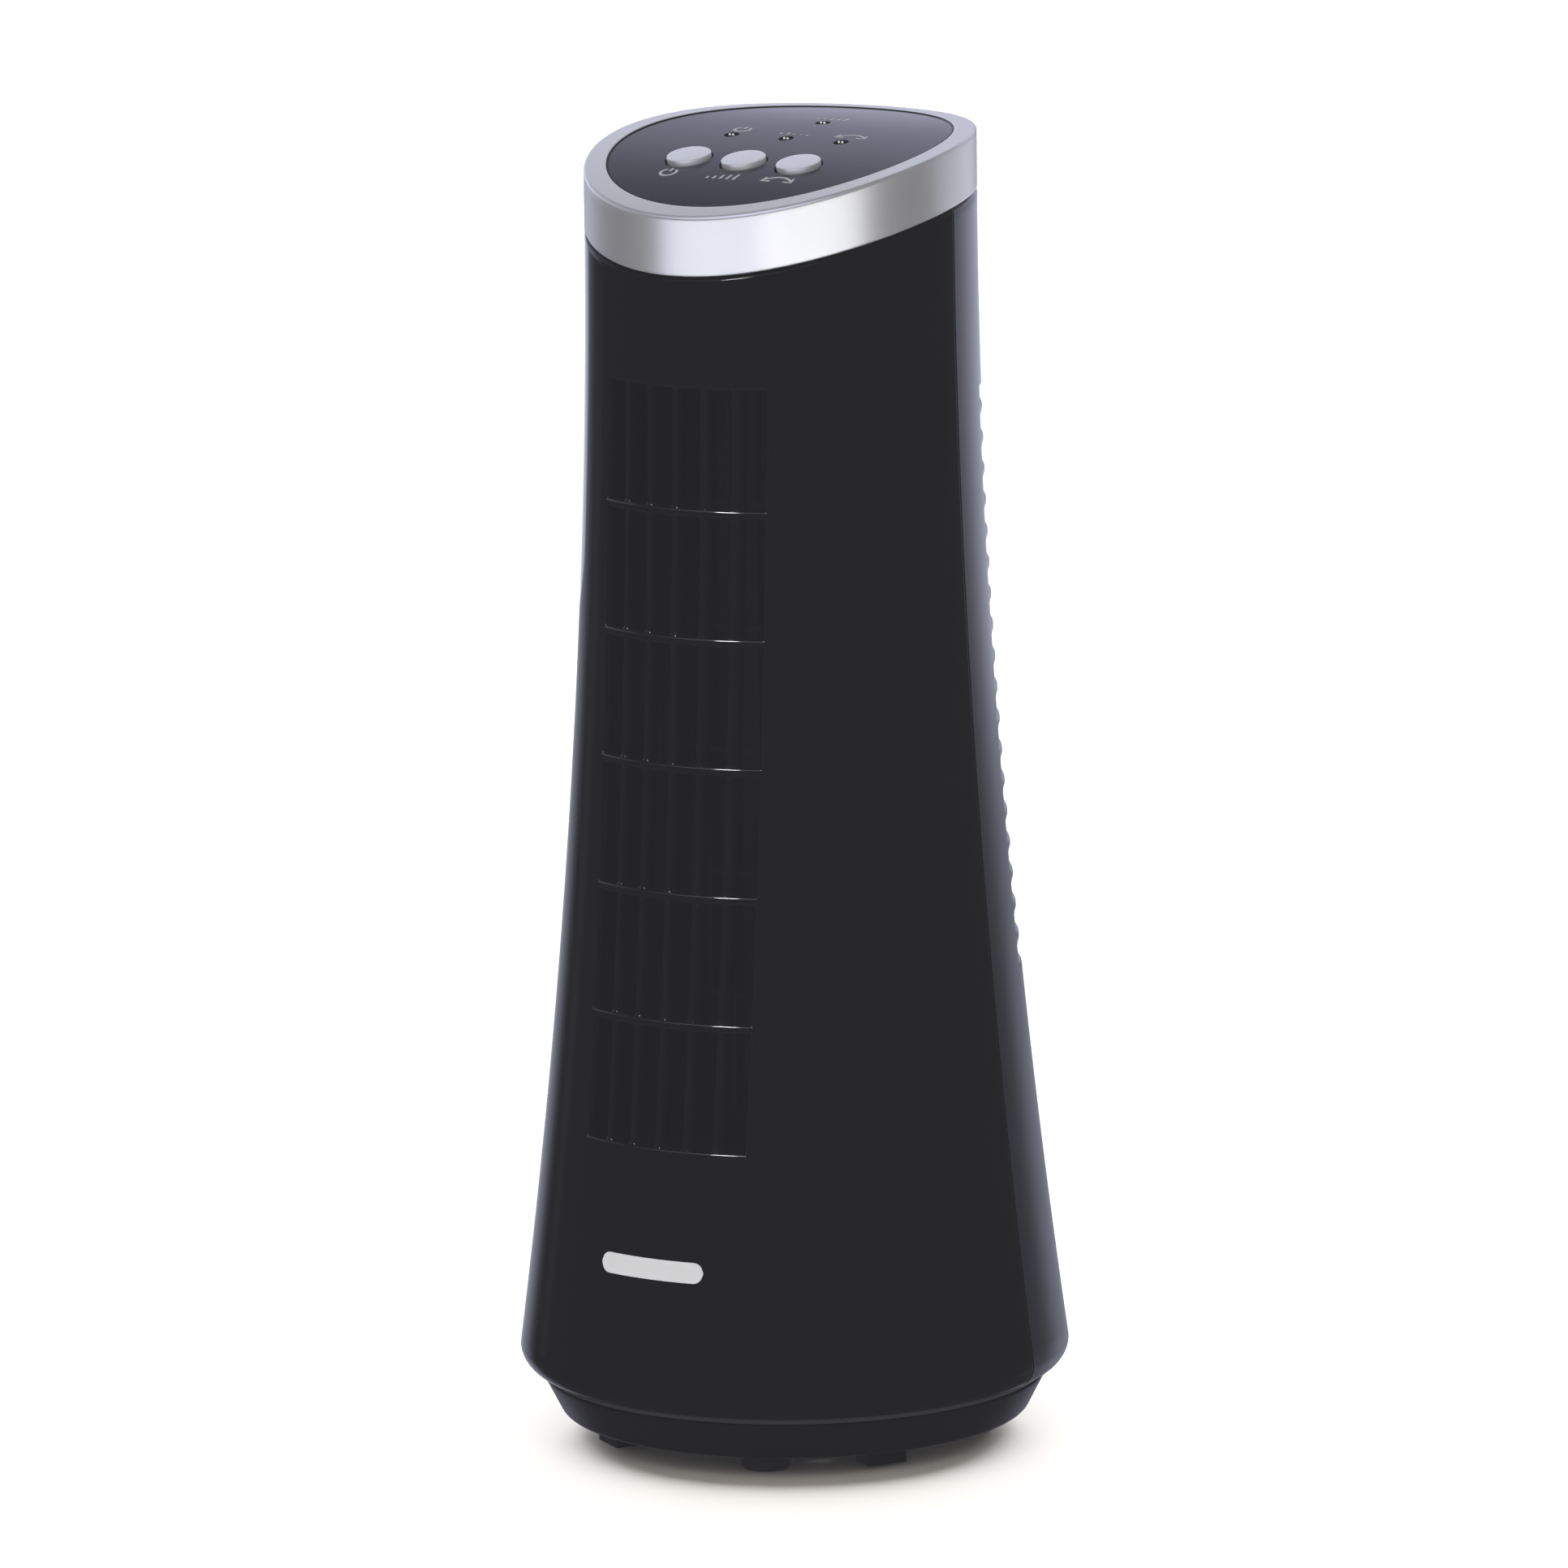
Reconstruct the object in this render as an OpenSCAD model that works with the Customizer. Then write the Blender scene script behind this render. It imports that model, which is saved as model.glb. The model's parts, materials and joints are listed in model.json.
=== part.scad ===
// Desktop oscillating tower fan, about a third of a metre tall.
// Millimetres, +Z up. The air outlet faces -Y. The origin is on the floor, on the swing axis.

/* [Tower] */
// Radius of the tower above its flare
tower_top_r = 49.2; // [48.8:0.1:49.5]
// How far the flare widens the foot of the tower
tower_flare = 18; // [17.5:0.1:18.5]
// Height where the flare fades into the straight part
flare_end_z = 313; // [310:1:314]
// Power of the flare's curve
flare_power = 1.9; // [1.85:0.01:1.95]
// Radius of the rounded edge at the foot of the tower
foot_edge_r = 6.1; // [5.9:0.1:6.5]
// Wall thickness of the mouldings
wall = 2.2; // [2:0.1:2.4]
// How far behind the axis the two shells meet
seam_y = 3.5; // [3:0.1:4]

/* [Front grille] */
// Columns of air cells
grille_columns = 6; // [4:1:8]
// Rows of air cells
grille_rows = 6; // [4:1:6]
// Half the width of the outlet
outlet_half_w = 23.7; // [22:0.1:24]
// Height of the lowest cell above the floor
outlet_z = 84; // [84:0.5:85]
// Height from one row to the next
row_pitch = 32; // [30:0.5:32]
// Thickness of the cross bars
bar_t = 2; // [1.5:0.1:3]
// Thickness of the upright ribs
rib_t = 1.6; // [1.2:0.1:2]
// How far the ribs are set back from the face
rib_front = 0.8; // [0.5:0.1:1.2]
// How far the ribs reach in from the face
rib_back = 5; // [4:0.1:6]

/* [Rear grille] */
// Number of air slots
louvre_count = 19; // [10:1:19]
// Height of the lowest slot
louvre_z = 121.5; // [121:0.5:122]
// Height from one slot to the next
louvre_pitch = 7.95; // [7:0.05:8]
// Height of each slot
louvre_gap = 4; // [3:0.1:4.5]
// Angle that the slots take up around the back
louvre_deg = 132; // [110:1:132]

/* [Top] */
// Height of the crest of the domed top
crest_z = 333.4; // [332:0.1:334]
// How far the crest lies behind the axis
crest_y = 41; // [38:0.5:44]
// Radius of the dome, which curves front to back only
dome_r = 250; // [240:1:260]
// Height of the silver collar
collar_h = 14.9; // [14:0.1:16]
// Radius of the control panel
panel_r = 43.2; // [42.8:0.1:43.4]

/* [Buttons] */
// Radius of each button
button_r = 5.75; // [5.4:0.05:5.9]
// Distance between button centres
button_pitch = 16.3; // [16:0.1:17]
// How far the button row lies behind the axis
button_y = -16.5; // [-17.5:0.1:-15.5]
// Travel of each button
button_travel = 0.8; // [0.5:0.1:0.9]
// Height of a button above the panel
button_proud = 1; // [0.8:0.1:1.2]
// Radius of each indicator window
window_r = 1.9; // [1.6:0.1:2.1]

/* [Base] */
// Radius of the base at its upper edge
base_top_r = 64; // [63.5:0.1:64.2]
// Radius of the base at its lower rim
base_rim_r = 57.2; // [57:0.1:57.6]
// Height of the lower rim above the floor
rim_z = 5.4; // [5.3:0.1:5.5]
// Height of the top of the base
base_top_z = 15.3; // [15.2:0.1:15.4]
// Radius of each rubber foot
foot_r = 6.85; // [6:0.05:7.5]
// Distance of each foot from the axis
foot_ring_r = 43.9; // [43:0.1:45]
// Turn of the feet from the front, towards +X
foot_turn = 23.5; // [16:0.5:30]
// Turn of the moulded stops, from halfway between the axes
stop_turn = 14; // [14:0.5:16]
// Radius of the opening for the mains lead
inlet_r = 2.7; // [2.5:0.1:2.8]

/* [Impeller] */
// Outer radius of the impeller
wheel_r = 29; // [28:0.1:29.5]
// Number of blades
blade_count = 24; // [16:1:28]
// Distance of the impeller's axis behind the swing axis
wheel_y = 3; // [2:0.5:4]
// Height of the impeller's lower end
wheel_z = 85; // [85:0.5:86]
// Length of the impeller
wheel_len = 188; // [186:1:188]

/* [Hidden] */

$fn = 96;
far = 90;
eps = 0.01;
tall = 345;

// Tower shell
tower_z = 17;
flare_span = 270;
flare_steps = 12;
arc_turn = 84;
arc_step = 12;
arc_z = tower_z + foot_edge_r * sin(arc_turn);
shell_opening_r = 58;
seam_gap = 0.2;
dome_z = crest_z - dome_r;
collar_gap = 0.3;

// The outlet is cut through the front wall only, in front of this depth
outlet_y = 35;

// Shell bosses, as x and z of each pair
boss_places = [[34, 290], [44, 52]];
boss_r = 4.6;
front_boss_r = 3.4;
well_r = 3.1;
boss_floor = 8;
screw_r = 1.25;
pilot_r = 1.3;
screw_hole_r = 1.7;
head_r = 2.7;
head_h = 2;

// Panel, with the plane of the buttons as its own frame
panel_drop = 0.3;
panel_t = 2.2;
button_slope = asin((crest_y - button_y) / dome_r);
button_z = dome_z + sqrt(dome_r * dome_r - (crest_y - button_y) * (crest_y - button_y));
button_hole_r = button_r + 0.25;
window_spots = [[-button_pitch, 19.9], [0, 19.9], [button_pitch, 19.9], [0, 37.3]];
board_depth = 10;
stem_end = -6.6;
switch_gap = 0.4;
board_t = 1.6;
post_spots = [[-27, 2], [27, 2], [14, 32]];
power_x = -button_pitch;
speed_x = 0;
swing_x = button_pitch;

// Badge
badge_z = 54;
badge_half_w = 12.5;
badge_half_h = 2.6;
badge_sink = 0.8;

// Base
base_wall = 2.2;
base_roof_z = base_top_z - base_wall;
pivot_r = 14;
pivot_bore_r = 8;
pivot_top_z = 22;
running_gap = 0.08;
plate_z0 = 5;
plate_z1 = 7.2;
plate_r = 54.8;
base_screw_ring_r = 30;
stop_w = 10.6;
stop_d = 7;
stop_z = 1.2;
stop_gap = 2;
inlet_z = 9.6;
gland_r = 3.4;
gland_y0 = 55.4;
gland_y1 = 63.6;

// Swing drive: the gear fixed to the base and the pinion on the swing motor
gear_module = 0.8;
sun_teeth = 54;
pinion_teeth = 18;
sun_r = gear_module * sun_teeth / 2;
pinion_r = gear_module * pinion_teeth / 2;
gear_gap = sun_r + pinion_r;
gear_t = 3;
gear_screw_ring_r = 11;
pressure_angle = 20;
backlash = 0.16;
swing_motor_r = 14;
swing_motor_z0 = 27;
swing_motor_z1 = 46;
swing_motor_shift = 8;
ear_reach = 17.5;
swing_shaft_r = 2.5;

// Air duct
plate_t = 2.4;
duct_z0 = 80;
duct_z1 = 279.4;
duct_clear = 0.4;
duct_wall = 2;
scroll_from = 155;
scroll_to = 232;
scroll_r0 = 31.5;
scroll_r1 = 40;
tongue_x = 25.6;

// Motor
motor_r = 28;
motor_z0 = 50;
motor_z1 = 76;
shaft_r = 2.5;
bush_r = 5;
bush_len = 4;
rotor_r = 12;
ear_ring_r = 35;

// Impeller ends
wheel_top = wheel_z + wheel_len;
blade_in_r = 23.6;
blade_t = 0.9;
blade_sweep = 15;
wheel_ring_t = 1.5;
wheel_bays = 6;
stub_r = 2;

// Wire loom, from the hollow pivot past the duct to the power board
loom_r = 2;
loom_joint_r = 2.3;
loom_x = 38;
loom_y = -22;
board_z = 291;
loom_route = [
    [0, 0, 23], [0, 0, 33], [loom_x, loom_y, 33], [loom_x, loom_y, 283], [12, -24, 283],
    [12, -24, board_z]
];

// Radius of the tower's outer face at height z
function tower_r(z) = tower_top_r
    + tower_flare * pow(max(flare_end_z - z, 0) / flare_span, flare_power);

function arc_x() = tower_r(arc_z) - foot_edge_r;

// Outline of the tower's outer face, moved inwards by inset
function tower_outline(inset) = concat(
    [for (a = [arc_turn:-arc_step:0])
        [arc_x() + (foot_edge_r - inset) * cos(a), arc_z - (foot_edge_r - inset) * sin(a)]],
    [for (i = [1:flare_steps])
        let (z = arc_z + (flare_end_z - arc_z) * i / flare_steps)
        [tower_r(z) - inset, z]],
    [[tower_top_r - inset, tall]]
);

module tower_solid(inset) {
    outline = tower_outline(inset);
    rotate_extrude()
        polygon(concat([[0, outline[0][1]]], outline, [[0, tall]]));
}

// Everything below the dome, once it is moved down by drop and in by inset
module below_dome(drop, inset) {
    translate([-far, crest_y, dome_z - drop])
        rotate([0, 90, 0])
            cylinder(h = 2 * far, r = dome_r - inset, $fn = 360);
}

module tube(outer, inner, z0, z1) {
    difference() {
        translate([0, 0, z0]) cylinder(h = z1 - z0, r = outer);
        if (inner > 0)
            translate([0, 0, z0 - 1]) cylinder(h = z1 - z0 + 2, r = inner);
    }
}

module rod(r, z0, z1) {
    translate([0, 0, z0]) cylinder(h = z1 - z0, r = r);
}

// A rod along +Y at x and z
module rod_y(x, z, r, y0, y1) {
    translate([x, y0, z]) rotate([-90, 0, 0]) cylinder(h = y1 - y0, r = r);
}

module screw(length) {
    rod(screw_r, -length, eps);
    rod(head_r, 0, head_h);
}

module front_half() {
    translate([-far, -far, 0]) cube([2 * far, far + seam_y - seam_gap / 2, tall]);
}

module rear_half() {
    translate([-far, seam_y + seam_gap / 2, 0]) cube([2 * far, far, tall]);
}

module tower_shell() {
    difference() {
        intersection() {
            tower_solid(0);
            below_dome(collar_h + collar_gap, 0);
        }
        tower_solid(wall);
        rod(shell_opening_r, 0, tower_z + 2 * wall);
    }
}

module at_bosses() {
    for (place = boss_places, side = [-1, 1])
        translate([side * place[0], 0, place[1]]) children();
}

// The frame of the buttons: its XY plane touches the dome at the button row
module panel_frame() {
    translate([0, button_y, button_z]) rotate([button_slope, 0, 0]) children();
}

// ---- Base ----

module base_shell() {
    color([0.06, 0.06, 0.065])
    difference() {
        union() {
            rotate_extrude()
                polygon([
                    [base_rim_r, rim_z], [base_rim_r + 1.1, rim_z + 0.5],
                    [base_rim_r + 2.1, rim_z + 1.7], [base_rim_r + 2.9, rim_z + 3.3],
                    [base_top_r, base_top_z], [pivot_r, base_top_z], [pivot_r, pivot_top_z],
                    [pivot_bore_r, pivot_top_z], [pivot_bore_r, base_roof_z],
                    [base_top_r - 3, base_roof_z], [base_rim_r + 0.7, rim_z + 3.5],
                    [base_rim_r - 1.7, rim_z + 1.5], [base_rim_r - 2, rim_z]
                ]);
            for (a = [45:90:315])
                rotate(a) translate([base_screw_ring_r, 0, 0]) rod(3.2, plate_z1, base_top_z - 1);
        }
        for (a = [45:90:315])
            rotate(a) translate([base_screw_ring_r, 0, 0]) rod(pilot_r, plate_z1 - 1, base_roof_z);
        for (a = [0:120:240])
            rotate(a) translate([gear_screw_ring_r, 0, 0])
                rod(pilot_r, base_top_z, pivot_top_z + 1);
        rod_y(0, inlet_z, gland_r, 45, 65);
    }
}

module base_plate() {
    color([0.05, 0.05, 0.055])
    difference() {
        union() {
            rod(plate_r, plate_z0, plate_z1);
            for (a = [0:90:270])
                rotate(a + stop_turn - 45) translate([-stop_w / 2, stop_gap - plate_r, stop_z])
                    cube([stop_w, stop_d, plate_z1 - stop_z]);
        }
        for (a = [45:90:315])
            rotate(a) translate([base_screw_ring_r, 0, 0]) {
                rod(screw_hole_r, plate_z0 - 1, plate_z1 + 1);
                rod(head_r + 0.2, plate_z0 - 1, plate_z0 + head_h - 0.7);
            }
        for (a = [0:90:270])
            rotate(a + foot_turn) translate([0, -foot_ring_r, 0]) rod(2.5, plate_z0 - 1, plate_z1 + 1);
    }
}

module ballast_ring() {
    color([0.45, 0.46, 0.48])
    difference() {
        tube(51, 35, plate_z1, 12.8);
        translate([-6, 30, 6]) cube([12, 30, 8]);
    }
}

module rubber_feet() {
    color([0.09, 0.09, 0.09])
    for (a = [0:90:270])
        rotate(a + foot_turn) translate([0, -foot_ring_r, 0]) {
            cylinder(h = 0.8, r1 = foot_r - 0.8, r2 = foot_r);
            rod(foot_r, 0.8, plate_z0);
            rod(2.5, plate_z0 - eps, plate_z1);
        }
}

module glide_ring() {
    color([0.85, 0.85, 0.82])
    tube(46, 40, base_top_z, base_top_z + 1.4);
}

module cord_gland() {
    color([0.08, 0.08, 0.08])
    difference() {
        rod_y(0, inlet_z, gland_r, gland_y0, gland_y1);
        rod_y(0, inlet_z, inlet_r, gland_y0 - 1, gland_y1 + 1);
    }
}

module base_screws() {
    color([0.7, 0.7, 0.72])
    for (a = [45:90:315])
        rotate(a) translate([base_screw_ring_r, 0, plate_z0 + head_h - 0.7])
            mirror([0, 0, 1]) {
                rod(screw_r, -6, eps);
                rod(head_r, 0, head_h - 0.8);
            }
}

// Involute gear teeth: the roll angle where the involute reaches radius r
function roll(base_r, r) = sqrt(max(r * r / (base_r * base_r) - 1, 0)) * 180 / PI;

// Angle between the start of the involute and its point at radius r
function swept(base_r, r) = roll(base_r, r) - atan(roll(base_r, r) * PI / 180);

function half_tooth(pitch_r, teeth, r) =
    let (base_r = pitch_r * cos(pressure_angle))
    90 / teeth - backlash / (2 * pitch_r) * 180 / PI
        + swept(base_r, pitch_r) - swept(base_r, r);

function gear_outline(teeth) =
    let (
        pitch_r = gear_module * teeth / 2,
        root_r = pitch_r - 1.25 * gear_module,
        tip_r = pitch_r + 0.95 * gear_module,
        base_r = pitch_r * cos(pressure_angle),
        flank = [for (s = [0:0.25:1])
            let (r = max(root_r, base_r) + (tip_r - max(root_r, base_r)) * s) r]
    )
    [for (tooth = [0:teeth - 1])
        let (middle = tooth * 360 / teeth)
        each concat(
            [[root_r, middle - half_tooth(pitch_r, teeth, flank[0])]],
            [for (r = flank) [r, middle - half_tooth(pitch_r, teeth, r)]],
            [for (i = [4:-1:0]) [flank[i], middle + half_tooth(pitch_r, teeth, flank[i])]],
            [[root_r, middle + half_tooth(pitch_r, teeth, flank[0])]]
        )];

module gear(teeth, thickness) {
    points = [for (p = gear_outline(teeth)) p[0] * [cos(p[1]), sin(p[1])]];
    linear_extrude(thickness) polygon(points);
}

module swing_gear() {
    color([0.88, 0.87, 0.82])
    difference() {
        translate([0, 0, pivot_top_z]) rotate(90) gear(sun_teeth, gear_t);
        rod(pivot_bore_r, pivot_top_z - 1, pivot_top_z + gear_t + 1);
        for (a = [0:120:240])
            rotate(a) translate([gear_screw_ring_r, 0, 0])
                rod(screw_hole_r - 0.3, pivot_top_z - 1, pivot_top_z + gear_t + 1);
    }
}

module gear_screws() {
    color([0.7, 0.7, 0.72])
    for (a = [0:120:240])
        rotate(a) translate([gear_screw_ring_r, 0, pivot_top_z + gear_t]) screw(8.5);
}

// ---- Tower ----

module tower_floor() {
    rim_r = base_top_r;
    lip_z = base_top_z + 0.4;
    color([0.16, 0.16, 0.17])
    difference() {
        union() {
            rotate_extrude()
                polygon([
                    [pivot_r + running_gap, tower_z], [50, tower_z], [50, lip_z],
                    [rim_r, lip_z], [rim_r, tower_z], [57.5, tower_z], [57.5, tower_z + 7],
                    [55.5, tower_z + 7], [55.5, tower_z + wall], [18, tower_z + wall],
                    [18, pivot_top_z - 0.3], [pivot_r + running_gap, pivot_top_z - 0.3]
                ]);
            for (side = [-1, 1])
                translate([side * ear_reach, gear_gap + swing_motor_shift, 0])
                    rod(3.5, tower_z + 1, swing_motor_z0);
        }
        for (side = [-1, 1])
            translate([side * ear_reach, gear_gap + swing_motor_shift, 0])
                rod(pilot_r, tower_z + wall, swing_motor_z0 + 1);
    }
}

module grille_windows() {
    for (row = [0:grille_rows - 1])
        translate([-outlet_half_w, -far, outlet_z + row * row_pitch])
            cube([2 * outlet_half_w, far - outlet_y, row_pitch - bar_t]);
}

// Upright ribs behind the cross bars, deeper than the wall
module grille_ribs() {
    pitch = 2 * outlet_half_w / grille_columns;
    intersection() {
        difference() {
            tower_solid(rib_front);
            tower_solid(rib_back);
        }
        for (i = [1:grille_columns - 1])
            translate([-outlet_half_w + i * pitch - rib_t / 2, -far, outlet_z - 1])
                cube([rib_t, far - outlet_y, grille_rows * row_pitch]);
    }
}

module pill(grow) {
    rotate([90, 0, 0])
        linear_extrude(far)
            union() {
                square([2 * badge_half_w, 2 * (badge_half_h + grow)], center = true);
                for (side = [-1, 1])
                    translate([side * badge_half_w, 0]) circle(r = badge_half_h + grow);
            }
}

module badge() {
    color([0.62, 0.63, 0.65])
    intersection() {
        difference() {
            tower_solid(-0.2);
            tower_solid(badge_sink);
        }
        translate([0, 0, badge_z]) pill(0);
    }
}

module front_cover() {
    color([0.03, 0.03, 0.035])
    difference() {
        union() {
            difference() {
                intersection() {
                    tower_shell();
                    front_half();
                }
                grille_windows();
            }
            grille_ribs();
            intersection() {
                tower_solid(wall / 2);
                at_bosses() rod_y(0, 0, front_boss_r, -far, seam_y - seam_gap / 2);
            }
        }
        at_bosses() rod_y(0, 0, pilot_r, seam_y - 12, seam_y + 1);
        difference() {
            translate([0, 0, badge_z]) pill(0.1);
            tower_solid(badge_sink);
        }
    }
}

module louvre_slots() {
    for (i = [0:louvre_count - 1])
        rotate(90 - louvre_deg / 2)
            rotate_extrude(angle = louvre_deg)
                translate([34, louvre_z + i * louvre_pitch]) square([40, louvre_gap]);
}

module louvre_stays() {
    intersection() {
        difference() {
            tower_solid(wall - 0.8);
            tower_solid(wall + 1.6);
        }
        for (a = [-30, 0, 30])
            rotate(a) translate([-1, 20, louvre_z - 4])
                cube([2, far, louvre_count * louvre_pitch + 4]);
    }
}

// A shelf inside the rear shell, behind from_y, that a duct plate rests on
module duct_ledge(z, reach, from_y) {
    intersection() {
        tower_solid(wall / 2);
        difference() {
            rod(far, z - 2, z);
            rod(tower_r(z) - wall - reach, z - 3, z + 1);
        }
        translate([-far, from_y, 0]) cube([2 * far, far, tall]);
    }
}

module rear_shell() {
    color([0.10, 0.11, 0.125])
    difference() {
        union() {
            difference() {
                intersection() {
                    tower_shell();
                    rear_half();
                }
                louvre_slots();
            }
            louvre_stays();
            duct_ledge(duct_z0 - 0.1, 5, 12);
            duct_ledge(duct_z1 - plate_t - 0.1, 3, 26);
            intersection() {
                tower_solid(wall / 2);
                at_bosses() rod_y(0, 0, boss_r, seam_y + seam_gap / 2, far);
            }
        }
        at_bosses() {
            rod_y(0, 0, screw_hole_r, 0, far);
            rod_y(0, 0, well_r, seam_y + boss_floor, far);
        }
    }
}

module shell_screws() {
    color([0.25, 0.25, 0.26])
    at_bosses()
        translate([0, seam_y + boss_floor, 0]) rotate([-90, 0, 0]) screw(16);
}

// The part of a ring under the dome between two depths below its surface
module dome_ring(outer, inner, depth, end_depth) {
    difference() {
        intersection() {
            tube(outer, inner, tower_z, tall);
            below_dome(0, depth);
        }
        below_dome(0, end_depth);
    }
}

// A ring that hangs from the dome's surface down to a copy of it, drop lower
module dome_skirt(outer, inner, depth, drop) {
    difference() {
        intersection() {
            tube(outer, inner, tower_z, tall);
            below_dome(0, depth);
        }
        below_dome(drop, 0);
    }
}

module top_collar() {
    shell_in_r = tower_top_r - wall;
    ledge = panel_drop + panel_t;
    color([0.68, 0.69, 0.71]) {
        dome_skirt(tower_top_r, shell_in_r, 0, collar_h);
        dome_skirt(shell_in_r - 0.2, shell_in_r - 1.8, 1, collar_h + 4);
        dome_ring(tower_top_r, panel_r + 0.3, 0, wall);
        dome_ring(shell_in_r - 1, panel_r - 2, ledge, ledge + 1.6);
    }
}

module control_panel() {
    color([0.20, 0.21, 0.23])
    difference() {
        union() {
            dome_ring(panel_r, 0, panel_drop, panel_drop + panel_t);
            panel_frame()
                for (spot = post_spots)
                    translate([spot[0], spot[1], 0]) rod(3, -board_depth, -panel_t);
        }
        panel_frame() {
            for (x = [power_x, speed_x, swing_x])
                translate([x, 0, 0]) rod(button_hole_r, -6, 6);
            for (spot = window_spots)
                translate([spot[0], spot[1], 0]) rod(window_r, -8, 6);
            for (spot = post_spots)
                translate([spot[0], spot[1], 0]) rod(pilot_r - 0.3, -board_depth - 1, -5);
        }
    }
}

module indicator_windows() {
    color([0.12, 0.12, 0.13])
    intersection() {
        below_dome(0, panel_drop + 0.1);
        panel_frame()
            for (spot = window_spots)
                translate([spot[0], spot[1], 0]) rod(window_r, 3.2 - board_depth, 6);
    }
}

module control_board() {
    color([0.10, 0.32, 0.16])
    panel_frame()
        difference() {
            translate([-31, -11, -board_depth - board_t]) cube([62, 53, board_t]);
            for (spot = post_spots)
                translate([spot[0], spot[1], 0])
                    rod(screw_r - 0.2, -board_depth - board_t - 1, 1 - board_depth);
        }
}

module board_switches() {
    switch_w = 6;
    color([0.75, 0.75, 0.76])
    panel_frame()
        for (x = [power_x, speed_x, swing_x])
            translate([x, 0, 0]) {
                translate([-switch_w / 2, -switch_w / 2, -board_depth])
                    cube([switch_w, switch_w, 1.5]);
                rod(1.6, 1.4 - board_depth, stem_end - button_travel - switch_gap);
            }
}

module board_lamps() {
    color([0.9, 0.9, 0.92])
    panel_frame()
        for (spot = window_spots)
            translate([spot[0], spot[1], 0]) rod(1.5, -board_depth, 3 - board_depth);
}

module board_screws() {
    color([0.7, 0.7, 0.72])
    panel_frame()
        for (spot = post_spots)
            translate([spot[0], spot[1], -board_depth - board_t])
                mirror([0, 0, 1]) {
                    rod(screw_r - 0.25, -5, eps);
                    rod(2.2, 0, 1.4);
                }
}

module power_board() {
    color([0.12, 0.30, 0.17])
    difference() {
        translate([-24, -26, board_z]) cube([48, 48, board_t]);
        for (x = [-21, 21], y = [-15, 19])
            translate([x, y, 0]) rod(pilot_r, board_z - 1, board_z + 3);
    }
}

module power_parts() {
    color([0.80, 0.66, 0.20])
    translate([0, 0, board_z + board_t]) {
        translate([-19, -12, 0]) cube([16, 10, 12]);
        translate([10, 2, 0]) rod(6, 0, 14);
        translate([-17, 6, 0]) cube([12, 10, 8]);
        translate([4, -14, 0]) cube([14, 6, 7]);
    }
}

// ---- Air duct ----

function scroll_r(a) = scroll_r0
    + (scroll_r1 - scroll_r0) * (a - scroll_from) / (scroll_to - scroll_from);

function scroll_point(a, out) = [0, wheel_y] + (scroll_r(a) + out) * [cos(a), sin(a)];

module duct_space() {
    intersection() {
        tower_solid(wall + duct_clear);
        rod(far, duct_z0 + plate_t, duct_z1 - plate_t);
    }
}

module duct_scroll() {
    turns = [for (i = [0:8]) scroll_from + (scroll_to - scroll_from) * i / 8];
    heel = scroll_point(scroll_from, 0);
    root = scroll_point(scroll_from + 3.7, duct_wall);
    fin = [-40, 13];
    wall_x = scroll_point(scroll_to, 0)[0];
    color([0.12, 0.12, 0.13])
    intersection() {
        duct_space();
        linear_extrude(tall)
            polygon(concat(
                [for (a = turns) scroll_point(a, 0)],
                [[wall_x, -far], [wall_x - duct_wall, -far]],
                [for (i = [8:-1:1]) scroll_point(turns[i], duct_wall)],
                [root, root + fin, heel + fin]
            ));
    }
}

module duct_tongue() {
    lip = [29.4, -8];
    color([0.12, 0.12, 0.13])
    intersection() {
        duct_space();
        linear_extrude(tall)
            polygon([
                lip, [tongue_x, -26], [tongue_x, -far], [tongue_x + duct_wall, -far],
                [tongue_x + duct_wall, -26], lip + [1.6, -duct_wall],
                [far, lip[1] - duct_wall], [far, lip[1]]
            ]);
    }
}

module duct_plate(z0) {
    intersection() {
        tower_solid(wall + duct_clear);
        difference() {
            rod(far, z0, z0 + plate_t);
            translate([loom_x, loom_y, 0]) rod(loom_r + 0.4, z0 - 1, z0 + plate_t + 1);
        }
    }
}

module duct_top_plate() {
    z0 = duct_z1 - plate_t;
    color([0.13, 0.13, 0.14])
    difference() {
        union() {
            duct_plate(z0);
            translate([0, wheel_y, 0]) rod(11, z0, z0 + 8);
            for (x = [-21, 21], y = [-15, 19])
                translate([x, y, 0]) rod(3, z0 + 1, board_z);
        }
        translate([0, wheel_y, 0]) {
            rod(4, z0 - 1, z0 + 4);
            rod(9, z0 + 2, z0 + 9);
        }
    }
}

module duct_bottom_plate() {
    color([0.13, 0.13, 0.14])
    difference() {
        union() {
            duct_plate(duct_z0);
            translate([0, wheel_y, 0])
                for (a = [30:120:270])
                    rotate(a) translate([ear_ring_r, 0, 0]) rod(3.4, motor_z1 - 1, duct_z0 + 1);
        }
        translate([0, wheel_y, 0]) {
            rod(6, duct_z0 - 1, duct_z0 + plate_t + 1);
            for (a = [30:120:270])
                rotate(a) translate([ear_ring_r, 0, 0]) rod(pilot_r, motor_z1 - 2, duct_z0 + 1.4);
        }
    }
}

module top_bearing() {
    z0 = duct_z1 - plate_t;
    color([0.72, 0.55, 0.30])
    translate([0, wheel_y, 0]) tube(6, stub_r + running_gap, z0 + 2.5, z0 + 6.5);
}

module bearing_seat() {
    z0 = duct_z1 - plate_t;
    color([0.10, 0.10, 0.10])
    translate([0, wheel_y, 0]) tube(9, 6, z0 + 2, z0 + 7);
}

// ---- Fan motor ----

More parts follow.
